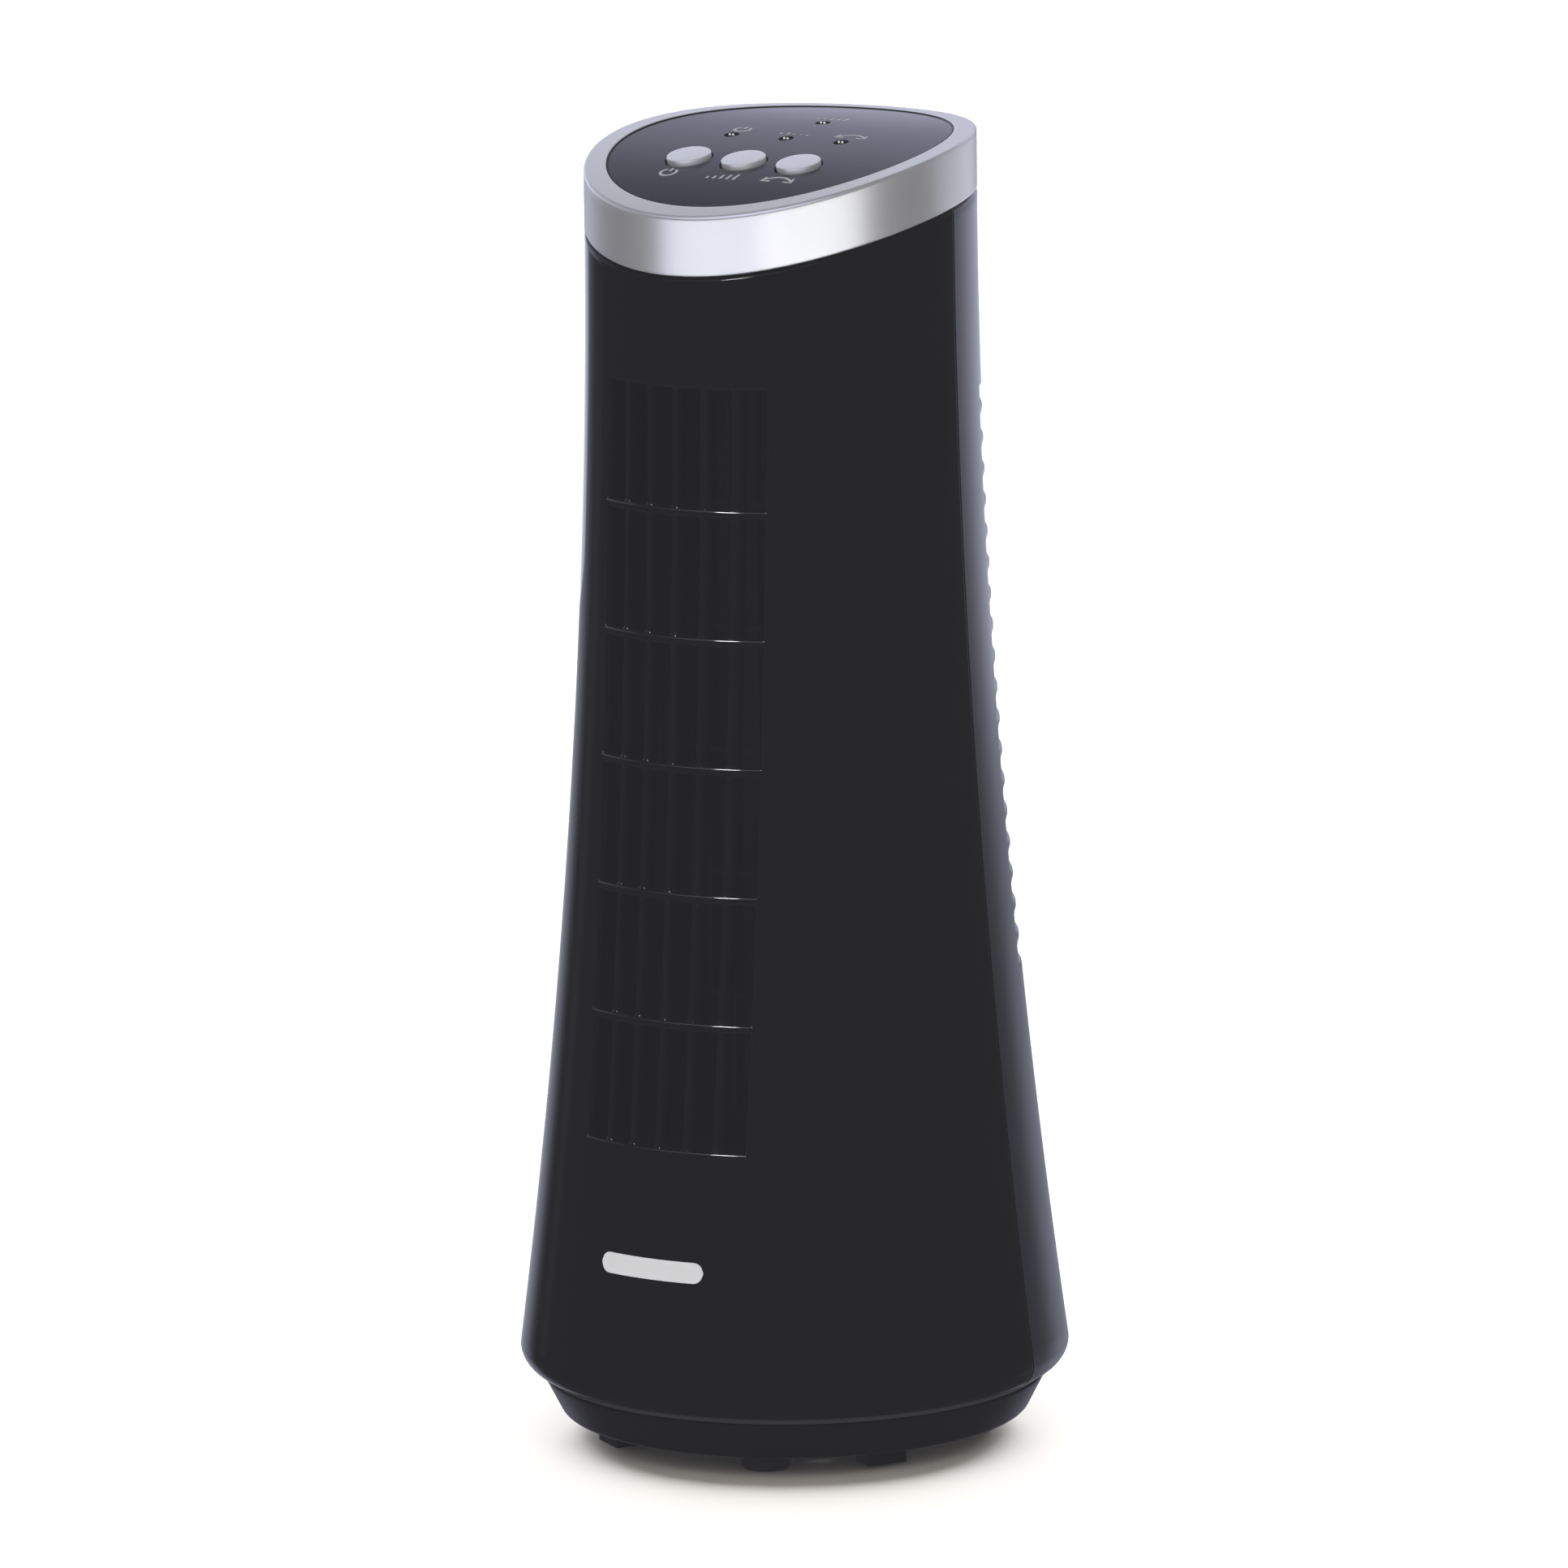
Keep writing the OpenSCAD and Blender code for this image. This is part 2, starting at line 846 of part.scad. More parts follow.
module motor_housing() {
    color([0.55, 0.56, 0.58])
    translate([0, wheel_y, 0])
        difference() {
            union() {
                rod(motor_r, motor_z0 + 2, motor_z1 - 2);
                translate([0, 0, motor_z0]) cylinder(h = 2, r1 = motor_r - 2, r2 = motor_r);
                translate([0, 0, motor_z1 - 2]) cylinder(h = 2, r1 = motor_r, r2 = motor_r - 2);
            }
            rod(motor_r - 1.6, motor_z0 + 2, motor_z1 - 2);
            rod(bush_r, motor_z0 - 1, motor_z1 + 1);
            for (a = [0:45:315])
                rotate(a) translate([18, 0, 0]) rod(2.2, motor_z1 - 3, motor_z1 + 1);
        }
}

module motor_stator() {
    color([0.35, 0.36, 0.38])
    translate([0, wheel_y, 0])
        difference() {
            tube(motor_r - 1.6, rotor_r + 0.5, 56, 68);
            for (a = [0:60:300])
                rotate(a) translate([18.5, 0, 0]) rod(3.4, 55, 69);
        }
}

module motor_windings() {
    color([0.72, 0.38, 0.18])
    translate([0, wheel_y, 0])
        for (a = [0:60:300])
            rotate(a) translate([18.5, 0, 0]) rod(3.1, 53.4, 70.6);
}

module motor_bushes() {
    color([0.72, 0.55, 0.30])
    translate([0, wheel_y, 0]) {
        tube(bush_r, shaft_r + running_gap, motor_z0, motor_z0 + bush_len);
        tube(bush_r, shaft_r + running_gap, motor_z1 - bush_len, motor_z1);
    }
}

module motor_bracket() {
    ear_z = 71;
    color([0.62, 0.63, 0.65])
    translate([0, wheel_y, 0])
        difference() {
            union() {
                rod(motor_r + 3, ear_z, ear_z + 2);
                for (a = [30:120:270])
                    rotate(a) {
                        translate([ear_ring_r, 0, 0]) rod(5.5, ear_z, ear_z + 2);
                        translate([motor_r, -5.5, ear_z]) cube([ear_ring_r - motor_r, 11, 2]);
                    }
            }
            rod(motor_r, ear_z - 1, ear_z + 3);
            for (a = [30:120:270])
                rotate(a) translate([ear_ring_r, 0, 0]) rod(3, ear_z - 1, ear_z + 3);
        }
}

module motor_grommets() {
    color([0.09, 0.09, 0.09])
    translate([0, wheel_y, 0])
        for (a = [30:120:270])
            rotate(a) translate([ear_ring_r, 0, 0])
                difference() {
                    union() {
                        rod(3, 70, 74);
                        rod(4.4, 69.4, 71);
                        rod(4.4, 73, 75);
                    }
                    rod(screw_hole_r, 69, 76);
                }
}

module motor_screws() {
    color([0.7, 0.7, 0.72])
    translate([0, wheel_y, 0])
        for (a = [30:120:270])
            rotate(a) translate([ear_ring_r, 0, 69.4]) mirror([0, 0, 1]) screw(11);
}

// ---- Swing motor and wiring ----

module swing_motor() {
    y = gear_gap + swing_motor_shift;
    color([0.74, 0.75, 0.77])
    difference() {
        union() {
            translate([0, y, 0]) {
                rod(swing_motor_r, swing_motor_z0, swing_motor_z1);
                for (side = [-1, 1])
                    translate([side * ear_reach, 0, 0]) rod(3.5, swing_motor_z0, swing_motor_z0 + 1);
                translate([-ear_reach, -3.5, swing_motor_z0]) cube([2 * ear_reach, 7, 1]);
                translate([-7.3, swing_motor_r - 3, swing_motor_z0 + 1]) cube([14.6, 5.5, 17]);
            }
        }
        translate([0, gear_gap, 0])
            rod(swing_shaft_r + running_gap, swing_motor_z0 - 1, swing_motor_z0 + 12);
        for (side = [-1, 1])
            translate([side * ear_reach, y, 0])
                rod(screw_hole_r, swing_motor_z0 - 1, swing_motor_z0 + 2);
    }
}

module swing_motor_screws() {
    color([0.7, 0.7, 0.72])
    for (side = [-1, 1])
        translate([side * ear_reach, gear_gap + swing_motor_shift, swing_motor_z0 + 1]) screw(7);
}

// A round wire from one point to another
module wire(from, to) {
    run = to - from;
    translate(from)
        rotate([0, acos(run[2] / norm(run)), atan2(run[1], run[0])])
            cylinder(h = norm(run), r = loom_r);
}

module wire_loom() {
    last = len(loom_route) - 1;
    color([0.75, 0.75, 0.72])
    union() {
        for (i = [1:last]) wire(loom_route[i - 1], loom_route[i]);
        for (i = [1:last - 1]) translate(loom_route[i]) sphere(r = loom_joint_r);
    }
}

// ---- Impeller ----

// A point on a blade at share s of its depth, on one side of its middle line
function blade_point(s, side) =
    let (
        r = blade_in_r + (wheel_r - 0.3 - blade_in_r) * s,
        a = blade_sweep * s * s + side * blade_t / 2 / r * 180 / PI
    )
    r * [cos(a), sin(a)];

module impeller_wheel() {
    color([0.14, 0.14, 0.15])
    translate([0, wheel_y, 0])
        difference() {
            union() {
                translate([0, 0, wheel_z + 0.5])
                    linear_extrude(wheel_len - 1)
                        for (i = [0:blade_count - 1])
                            rotate(i * 360 / blade_count)
                                polygon(concat(
                                    [for (s = [0:0.25:1]) blade_point(s, -1)],
                                    [for (s = [1:-0.25:0]) blade_point(s, 1)]
                                ));
                for (i = [1:wheel_bays - 1])
                    tube(wheel_r, blade_in_r - 1, wheel_z + i * wheel_len / wheel_bays - wheel_ring_t / 2,
                        wheel_z + i * wheel_len / wheel_bays + wheel_ring_t / 2);
                rod(wheel_r, wheel_z, wheel_z + wheel_ring_t);
                rod(wheel_r, wheel_top - wheel_ring_t, wheel_top);
                rod(9, wheel_z, wheel_z + 10);
                rod(6, wheel_top - 7, wheel_top);
            }
            rod(7, wheel_z - 1, wheel_z + 8.5);
            rod(stub_r, wheel_top - 5.5, wheel_top + 1);
        }
}

module impeller_coupling() {
    color([0.10, 0.10, 0.10])
    translate([0, wheel_y, 0]) tube(7, shaft_r, wheel_z, wheel_z + 8.5);
}

module impeller_stub() {
    color([0.75, 0.76, 0.78])
    translate([0, wheel_y, 0]) rod(stub_r, wheel_top - 5.5, duct_z1 - plate_t + 7.5);
}

module motor_rotor() {
    color([0.62, 0.62, 0.64])
    translate([0, wheel_y, 0]) {
        rod(shaft_r, motor_z0 - 3, wheel_z + 8.5);
        rod(rotor_r, 56.5, 67.5);
    }
}

// ---- Swing pinion ----

module swing_pinion() {
    color([0.90, 0.89, 0.84])
    translate([0, gear_gap, 0])
        difference() {
            union() {
                translate([0, 0, pivot_top_z - 0.2])
                    rotate(270 + 180 / pinion_teeth) gear(pinion_teeth, gear_t + 0.4);
                rod(4.4, pivot_top_z - 1, swing_motor_z0 - 0.5);
            }
            rod(swing_shaft_r, pivot_top_z - 2, swing_motor_z0);
        }
}

module swing_shaft() {
    color([0.75, 0.76, 0.78])
    translate([0, gear_gap, 0]) rod(swing_shaft_r, pivot_top_z - 1, swing_motor_z0 + 11);
}

// ---- Buttons ----

module button(x) {
    flange_top = -panel_drop - panel_t - 0.5;
    color([0.76, 0.77, 0.79])
    panel_frame()
        translate([x, 0, 0]) {
            rod(button_r, flange_top - eps, button_proud - 0.4);
            translate([0, 0, button_proud - 0.4 - eps])
                cylinder(h = 0.4, r1 = button_r, r2 = button_r - 0.4);
            rod(button_r + 1.2, flange_top - 1, flange_top);
            rod(2, stem_end, flange_top - 1 + eps);
        }
}

module power_button() {
    button(power_x);
}

module speed_button() {
    button(speed_x);
}

module swing_button() {
    button(swing_x);
}

base_shell();
base_plate();
ballast_ring();
rubber_feet();
glide_ring();
cord_gland();
base_screws();
swing_gear();
gear_screws();
tower_floor();
front_cover();
rear_shell();
badge();
shell_screws();
top_collar();
control_panel();
indicator_windows();
control_board();
board_switches();
board_lamps();
board_screws();
power_board();
power_parts();
duct_scroll();
duct_tongue();
duct_top_plate();
duct_bottom_plate();
top_bearing();
bearing_seat();
motor_housing();
motor_stator();
motor_windings();
motor_bushes();
motor_bracket();
motor_grommets();
motor_screws();
swing_motor();
swing_motor_screws();
wire_loom();
impeller_wheel();
impeller_coupling();
impeller_stub();
motor_rotor();
swing_pinion();
swing_shaft();
power_button();
speed_button();
swing_button();
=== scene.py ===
"""Looks of a desktop oscillating tower fan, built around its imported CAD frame.

Metres, +Z up, outlet towards -Y."""
import json
import math

import bmesh
import bpy
from mathutils import Matrix, Vector
from mathutils.geometry import delaunay_2d_cdt


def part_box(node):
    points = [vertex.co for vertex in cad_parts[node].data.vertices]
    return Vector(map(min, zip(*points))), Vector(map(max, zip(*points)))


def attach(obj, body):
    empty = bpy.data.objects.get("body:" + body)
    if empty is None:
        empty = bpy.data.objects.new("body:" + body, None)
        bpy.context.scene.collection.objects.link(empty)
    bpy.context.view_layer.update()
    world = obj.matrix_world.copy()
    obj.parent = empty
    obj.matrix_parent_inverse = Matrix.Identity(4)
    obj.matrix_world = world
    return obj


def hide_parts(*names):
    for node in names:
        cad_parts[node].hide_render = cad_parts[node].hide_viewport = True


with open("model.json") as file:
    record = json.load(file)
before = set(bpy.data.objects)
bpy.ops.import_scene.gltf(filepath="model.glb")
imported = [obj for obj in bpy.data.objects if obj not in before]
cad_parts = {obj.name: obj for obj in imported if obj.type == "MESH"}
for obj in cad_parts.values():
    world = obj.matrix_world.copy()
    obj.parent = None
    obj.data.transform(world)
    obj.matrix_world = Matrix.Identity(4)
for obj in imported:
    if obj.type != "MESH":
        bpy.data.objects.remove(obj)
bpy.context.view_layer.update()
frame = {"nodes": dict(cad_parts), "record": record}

# ---- Driving sizes ----
MM = 0.001

# Domed top, which curves front to back only, with the collar, the panel and its ledge
TOP_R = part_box("top_collar")[1].x
CREST_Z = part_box("top_collar")[1].z
CREST_Y = 41 * MM
DOME_R = 250 * MM
COLLAR_H = 14.9 * MM
COLLAR_GAP = 0.3 * MM
PANEL_R = 43.15 * MM
# Width of the gap round the panel, filled by a black lip as a painted shadow line
SHADE_LINE_W = 0.35 * MM
PANEL_INSET = 0.3 * MM
PANEL_T = 2.2 * MM
LEDGE_R = 41 * MM
LEDGE_DEPTH = 2.7 * MM
LEDGE_T = 1.7 * MM
SKIRT_DEPTH = 4.5 * MM

# Wall of the tower, which flares towards its rounded bottom edge, and the seam between its shells
WALL = 2.2 * MM
TOWER_Z = 17 * MM
FLARE = 18 * MM
FLARE_END = 313 * MM
FLARE_SPAN = 270 * MM
FLARE_POWER = 1.9
EDGE_R = 6.1 * MM
EDGE_TURN = math.radians(84)
EDGE_Z = TOWER_Z + EDGE_R * math.sin(EDGE_TURN)
SHELL_OPENING_R = 58 * MM
TOP_EDGE_R = 1.2 * MM
BLEND_Z = 280 * MM
SEAM_Y = 3.5 * MM
SEAM_GAP = 0.2 * MM

# Air outlet in the front cover: rows of cells between cross bars and upright ribs
OUTLET_HALF_W = 23.7 * MM
OUTLET_Z = 84 * MM
ROW_PITCH = 32 * MM
ROWS = 6
COLUMNS = 6
BAR_T = 2 * MM
RIB_T = 1.6 * MM
RIB_FRONT = 0.7 * MM
RIB_BACK = 5 * MM
RIB_FILLET = 0.9 * MM

# Air slots in the rear shell, with bars that fall away to their edges and stays behind them
LOUVRE_Z = 121.5 * MM
LOUVRE_PITCH = 7.95 * MM
LOUVRE_GAP = 4 * MM
LOUVRE_BAR = LOUVRE_PITCH - LOUVRE_GAP
LOUVRE_COUNT = 19
LOUVRE_HALF_TURN = math.radians(66)
LOUVRE_FALL = 0.9 * MM
STAY_TURNS = (-30, 0, 30)

# Screw wells in the rear shell, each at an x and a height
WELL_R = 4.6 * MM
WELL_BORE = 3.1 * MM
WELLS = [(side * x * MM, z * MM) for x, z in ((34, 290), (44, 52)) for side in (-1, 1)]

# Controls: buttons in a row, windows at an x and a distance up the slope from that row, and marks
BUTTON_Y = -16.5 * MM
BUTTON_R = 5.75 * MM
BUTTON_GAP = 0.35 * MM
BUTTON_PROUD = 1 * MM
BUTTON_PITCH = 16.3 * MM
WINDOW_R = 1.9 * MM
WINDOW_SUNK = 0.3 * MM
# Small white studs in each window: painted highlights for two glints on its lens
STUD_R = 0.3 * MM
STUD_HALF_GAP = 0.5 * MM
WINDOWS = [(-BUTTON_PITCH, 19.9 * MM), (0, 19.9 * MM), (BUTTON_PITCH, 19.9 * MM), (0, 37.3 * MM)]
MARK_W = 0.75 * MM
MARK_T = 0.02 * MM
MARK_RAISED = 0.03 * MM

# Badge on the front cover: a pill with round ends
BADGE_Z = 54 * MM
BADGE_HALF_W = 12.5 * MM
BADGE_HALF_H = 2.6 * MM
BADGE_T = 0.6 * MM
BADGE_PROUD = 0.2 * MM

# Base, wider at its top than at its rim, with the hollow pivot and the inlet for a lead
BASE_TOP_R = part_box("base_shell")[1].x
BASE_TOP_Z = 15.3 * MM
BASE_RIM_R = 57.2 * MM
BASE_RIM_Z = 5.4 * MM
BASE_RIM_EDGE = 3 * MM
PIVOT_R = 14 * MM
PIVOT_BORE = 8 * MM
PIVOT_TOP = 22 * MM
INLET_R = 3.4 * MM


# ---- Shapes that the shells share ----
def tower_r(z):
    """Radius of the tower's outer face at height z."""
    return TOP_R + FLARE * (max(FLARE_END - z, 0) / FLARE_SPAN) ** FLARE_POWER


def dome_z(y, drop=0.0, inset=0.0):
    """Height over y of the dome let down by drop, or of one whose radius is less by inset."""
    return CREST_Z - DOME_R - drop + math.sqrt((DOME_R - inset) ** 2 - (y - CREST_Y) ** 2)


def shell_top(azimuth):
    """Height of the shells' upper edge at an azimuth, which is 0 at the front and grows towards +X."""
    return dome_z(-TOP_R * math.cos(azimuth), COLLAR_H + COLLAR_GAP)


def seam_azimuth(r, side):
    """Azimuth where a circle of radius r meets the seam on one shell's side of it."""
    return math.pi / 2 + math.asin((SEAM_Y + side * SEAM_GAP / 2) / r)


def place(azimuth, r, z):
    """The point at a radius and a height, with azimuth 0 at the front and growing towards +X."""
    return Vector((r * math.sin(azimuth), -r * math.cos(azimuth), z))


def spread(first, last, step):
    """Evenly spaced values from first to last, no more than step apart."""
    count = max(1, math.ceil(abs(last - first) / step - 1e-9))
    return [first + (last - first) * i / count for i in range(count + 1)]


def lines(stops, step):
    """The stops in order, with evenly spaced values between them."""
    out = [stops[0]]
    for low, high in zip(stops, stops[1:]):
        out += spread(low, high, step)[1:]
    return out


# ---- Mesh helpers ----
def new_object(name, bm):
    """A smooth-shaded object made of a bmesh, which is freed."""
    bmesh.ops.recalc_face_normals(bm, faces=bm.faces)
    mesh = bpy.data.meshes.new(name)
    bm.to_mesh(mesh)
    bm.free()
    mesh.shade_smooth()
    piece = bpy.data.objects.new(name, mesh)
    bpy.context.scene.collection.objects.link(piece)
    return piece


def apply_modifiers(piece):
    graph = bpy.context.evaluated_depsgraph_get()
    mesh = bpy.data.meshes.new_from_object(piece.evaluated_get(graph))
    piece.modifiers.clear()
    piece.data = mesh
    return piece


def solidify(piece, thickness):
    """Gives a skin a thickness, on its inner side."""
    mod = piece.modifiers.new("wall", "SOLIDIFY")
    mod.thickness = thickness
    mod.offset = -1
    mod.use_even_offset = True
    return apply_modifiers(piece)


def bevel(piece, width, segments=3, slot_index=-1):
    """Rounds the sharp edges. The new faces take the material of slot_index, or their neighbours'."""
    mod = piece.modifiers.new("edges", "BEVEL")
    mod.material = slot_index
    mod.width = width
    mod.segments = segments
    mod.limit_method = "ANGLE"
    mod.angle_limit = math.radians(35)
    mod.harden_normals = True
    mod.use_clamp_overlap = True
    return apply_modifiers(piece)


def round_top_edge(piece):
    """Rounds the outer upper edge of a shell, just below the collar."""
    bm = bmesh.new()
    bm.from_mesh(piece.data)

    def at_top_edge(vert):
        x, y, z = vert.co
        azimuth = math.atan2(x, -y)
        return abs(z - shell_top(azimuth)) < 0.1 * MM and math.hypot(x, y) > TOP_R - 0.3 * MM

    edges = [e for e in bm.edges if all(map(at_top_edge, e.verts)) and e.calc_face_angle(0) > 1]
    bmesh.ops.bevel(bm, geom=edges, offset=TOP_EDGE_R, segments=5, profile=0.5, affect="EDGES",
                    clamp_overlap=True)
    bm.to_mesh(piece.data)
    bm.free()
    piece.data.shade_smooth()
    return piece


def cut(piece, cutter):
    """Cuts one piece out of another and removes the cutter."""
    mod = piece.modifiers.new("cut", "BOOLEAN")
    mod.object = cutter
    mod.operation = "DIFFERENCE"
    mod.solver = "EXACT"
    apply_modifiers(piece)
    bpy.data.objects.remove(cutter)
    return piece


def join(pieces, name):
    """One object made of several, with the first one's materials."""
    bm = bmesh.new()
    for piece in pieces:
        bm.from_mesh(piece.data)
        bpy.data.objects.remove(piece)
    mesh = bpy.data.meshes.new(name)
    bm.to_mesh(mesh)
    bm.free()
    mesh.shade_smooth()
    joined = bpy.data.objects.new(name, mesh)
    bpy.context.scene.collection.objects.link(joined)
    return joined


def ring_mesh(name, section, segments):
    """A ring whose closed section at each azimuth is section(azimuth), a list of (r, z)."""
    bm = bmesh.new()
    loops = []
    for i in range(segments):
        azimuth = 2 * math.pi * i / segments
        loops.append([bm.verts.new(place(azimuth, r, z)) for r, z in section(azimuth)])
    for i in range(segments):
        a, b = loops[i], loops[(i + 1) % segments]
        for j in range(len(a)):
            k = (j + 1) % len(a)
            bm.faces.new((a[j], a[k], b[k], b[j]))
    return new_object(name, bm)


def lathe(name, section, segments, matrix=Matrix.Identity(4)):
    """A turned piece: section is an open line of (r, z) whose ends lie on the axis."""
    bm = bmesh.new()
    loops = []
    for r, z in section:
        if r < 1e-9:
            loops.append([bm.verts.new((0, 0, z))])
        else:
            turns = [2 * math.pi * i / segments for i in range(segments)]
            loops.append([bm.verts.new(place(turn, r, z)) for turn in turns])
    for a, b in zip(loops, loops[1:]):
        for i in range(segments):
            k = (i + 1) % segments
            corners = [a[i % len(a)], a[k % len(a)], b[k % len(b)], b[i % len(b)]]
            unique = list(dict.fromkeys(corners))
            if len(unique) > 2:
                bm.faces.new(unique)
    bm.transform(matrix)
    return new_object(name, bm)


def arc(cx, cy, r, start, end, steps):
    """Points of an arc in a section or on the panel, with angles in degrees."""
    return [
        (cx + r * math.cos(math.radians(a)), cy + r * math.sin(math.radians(a)))
        for a in spread(start, end, abs(end - start) / steps)
    ]


# ---- Materials ----
def material(name, color, roughness, metallic=0.0, ior=1.46, grain=0.0, grain_mm=0.4, mottle=0.15,
             brushed=False):
    """Moulded, painted or metal surface with a fine grain and a slow change of tone and gloss."""
    mat = bpy.data.materials.new(name)
    mat.use_nodes = True
    nodes, links = mat.node_tree.nodes, mat.node_tree.links
    shader = nodes["Principled BSDF"]
    shader.inputs["Metallic"].default_value = metallic
    shader.inputs["IOR"].default_value = ior
    coords = nodes.new("ShaderNodeTexCoord")
    stretch = nodes.new("ShaderNodeMapping")
    stretch.inputs["Scale"].default_value = (1, 1, 40) if brushed else (1, 1, 1)
    links.new(coords.outputs["Object"], stretch.inputs["Vector"])

    slow = nodes.new("ShaderNodeTexNoise")
    slow.inputs["Scale"].default_value = 35
    slow.inputs["Detail"].default_value = 3
    links.new(stretch.outputs["Vector"], slow.inputs["Vector"])

    tone = nodes.new("ShaderNodeMix")
    tone.data_type = "RGBA"
    tone.inputs["A"].default_value = (*[c * (1 - mottle) for c in color], 1)
    tone.inputs["B"].default_value = (*[c * (1 + mottle) for c in color], 1)
    links.new(slow.outputs["Fac"], tone.inputs["Factor"])
    links.new(tone.outputs["Result"], shader.inputs["Base Color"])

    gloss = nodes.new("ShaderNodeMapRange")
    gloss.inputs["To Min"].default_value = roughness * 0.9
    gloss.inputs["To Max"].default_value = min(1, roughness * 1.1)
    links.new(slow.outputs["Fac"], gloss.inputs["Value"])
    links.new(gloss.outputs["Result"], shader.inputs["Roughness"])

    if grain:
        fine = nodes.new("ShaderNodeTexNoise")
        fine.inputs["Scale"].default_value = 1 / (grain_mm * MM)
        fine.inputs["Detail"].default_value = 2
        links.new(stretch.outputs["Vector"], fine.inputs["Vector"])
        bump = nodes.new("ShaderNodeBump")
        bump.inputs["Strength"].default_value = grain
        bump.inputs["Distance"].default_value = 0.05 * MM
        links.new(fine.outputs["Fac"], bump.inputs["Height"])
        links.new(bump.outputs["Normal"], shader.inputs["Normal"])
    return mat


MATERIALS = {
    "gloss_black": material("gloss_black", (0.0024, 0.0024, 0.0036), 0.06, ior=1.20, grain=0.02,
                            grain_mm=6),
    "gloss_edge": material("gloss_edge", (0.0024, 0.0024, 0.0036), 0.08, ior=1.55),
    "grille_black": material("grille_black", (0.0026, 0.0026, 0.0038), 0.30, ior=1.12, grain=0.05),
    "satin_black": material("satin_black", (0.003, 0.0033, 0.006), 0.26, ior=1.5, grain=0.08,
                            grain_mm=0.35),
    "collar_silver": material("collar_silver", (0.74, 0.745, 0.77), 0.34, metallic=0.82, grain=0.10,
                              grain_mm=0.12, mottle=0.02),
    "panel_grey": material("panel_grey", (0.012, 0.013, 0.021), 0.17, ior=1.5, grain=0.03, grain_mm=0.5),
    "button_silver": material("button_silver", (0.74, 0.75, 0.79), 0.32, metallic=0.72, grain=0.08,
                              grain_mm=0.12, mottle=0.02),
    "window_smoke": material("window_smoke", (0.002, 0.002, 0.003), 0.4, ior=1.05),
    "base_black": material("base_black", (0.0028, 0.0028, 0.0034), 0.36, ior=1.28, grain=0.18,
                           grain_mm=0.3),
    "floor_grey": material("floor_grey", (0.028, 0.028, 0.030), 0.35, ior=1.3, grain=0.10, grain_mm=0.3),
    "badge_silver": material("badge_silver", (0.82, 0.83, 0.85), 0.30, metallic=0.35, grain=0.06,
                             grain_mm=0.1, mottle=0.03, brushed=True),
    "rubber": material("rubber", (0.012, 0.012, 0.012), 0.65, grain=0.25, grain_mm=0.25),
    "duct_black": material("duct_black", (0.0030, 0.0030, 0.0042), 0.40, ior=1.15, grain=0.1),
    "impeller_black": material("impeller_black", (0.0034, 0.0034, 0.005), 0.35, ior=1.2, grain=0.08),
    "zinc_steel": material("zinc_steel", (0.50, 0.50, 0.52), 0.35, metallic=1, grain=0.05),
    "stator_iron": material("stator_iron", (0.20, 0.20, 0.22), 0.5, metallic=1, grain=0.1, brushed=True),
    "copper_wire": material("copper_wire", (0.55, 0.22, 0.08), 0.3, metallic=1, grain=0.3, brushed=True),
    "bronze": material("bronze", (0.50, 0.33, 0.14), 0.4, metallic=1, grain=0.2, grain_mm=0.15),
    "screw_steel": material("screw_steel", (0.55, 0.55, 0.57), 0.28, metallic=1, grain=0.05),
    "white_nylon": material("white_nylon", (0.72, 0.71, 0.66), 0.4, grain=0.08),
    "circuit_board": material("circuit_board", (0.02, 0.16, 0.06), 0.3, grain=0.05),
    "board_parts": material("board_parts", (0.30, 0.20, 0.04), 0.45, grain=0.1),
    "lamp_white": material("lamp_white", (0.80, 0.82, 0.85), 0.2),
    "wire_white": material("wire_white", (0.60, 0.60, 0.58), 0.5, grain=0.1),
    "print_grey": material("print_grey", (0.36, 0.36, 0.39), 0.5, mottle=0.05),
}

for entry in frame["record"]["subparts"]:
    cad_mesh = frame["nodes"][entry["node"]].data
    cad_mesh.materials.clear()
    cad_mesh.materials.append(MATERIALS[entry["material_slot"]])


def finish_piece(piece, body, slot, nodes=(), paint=None, edge=None):
    """Gives a piece its material, its body and the CAD nodes that it stands for.

    paint is a material other than the slot's own, and edge is one for faces with material index 1."""
    for index, name in enumerate([paint or slot] + ([edge] if edge else [])):
        if index < len(piece.data.materials):
            piece.data.materials[index] = MATERIALS[name]
        else:
            piece.data.materials.append(MATERIALS[name])
    if nodes:
        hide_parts(*nodes)
    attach(piece, body)
    return piece


# ---- The two shells of the tower ----
def foot_rows():
    """(r, z) of the rows round the bottom edge of the tower, from its floor opening up."""
    centre_r = tower_r(EDGE_Z) - EDGE_R
    ring = [(r, TOWER_Z) for r in spread(SHELL_OPENING_R, centre_r, 2 * MM)]
    edge = arc(centre_r, EDGE_Z, EDGE_R, -math.degrees(EDGE_TURN), 0, 14)
    return ring + edge


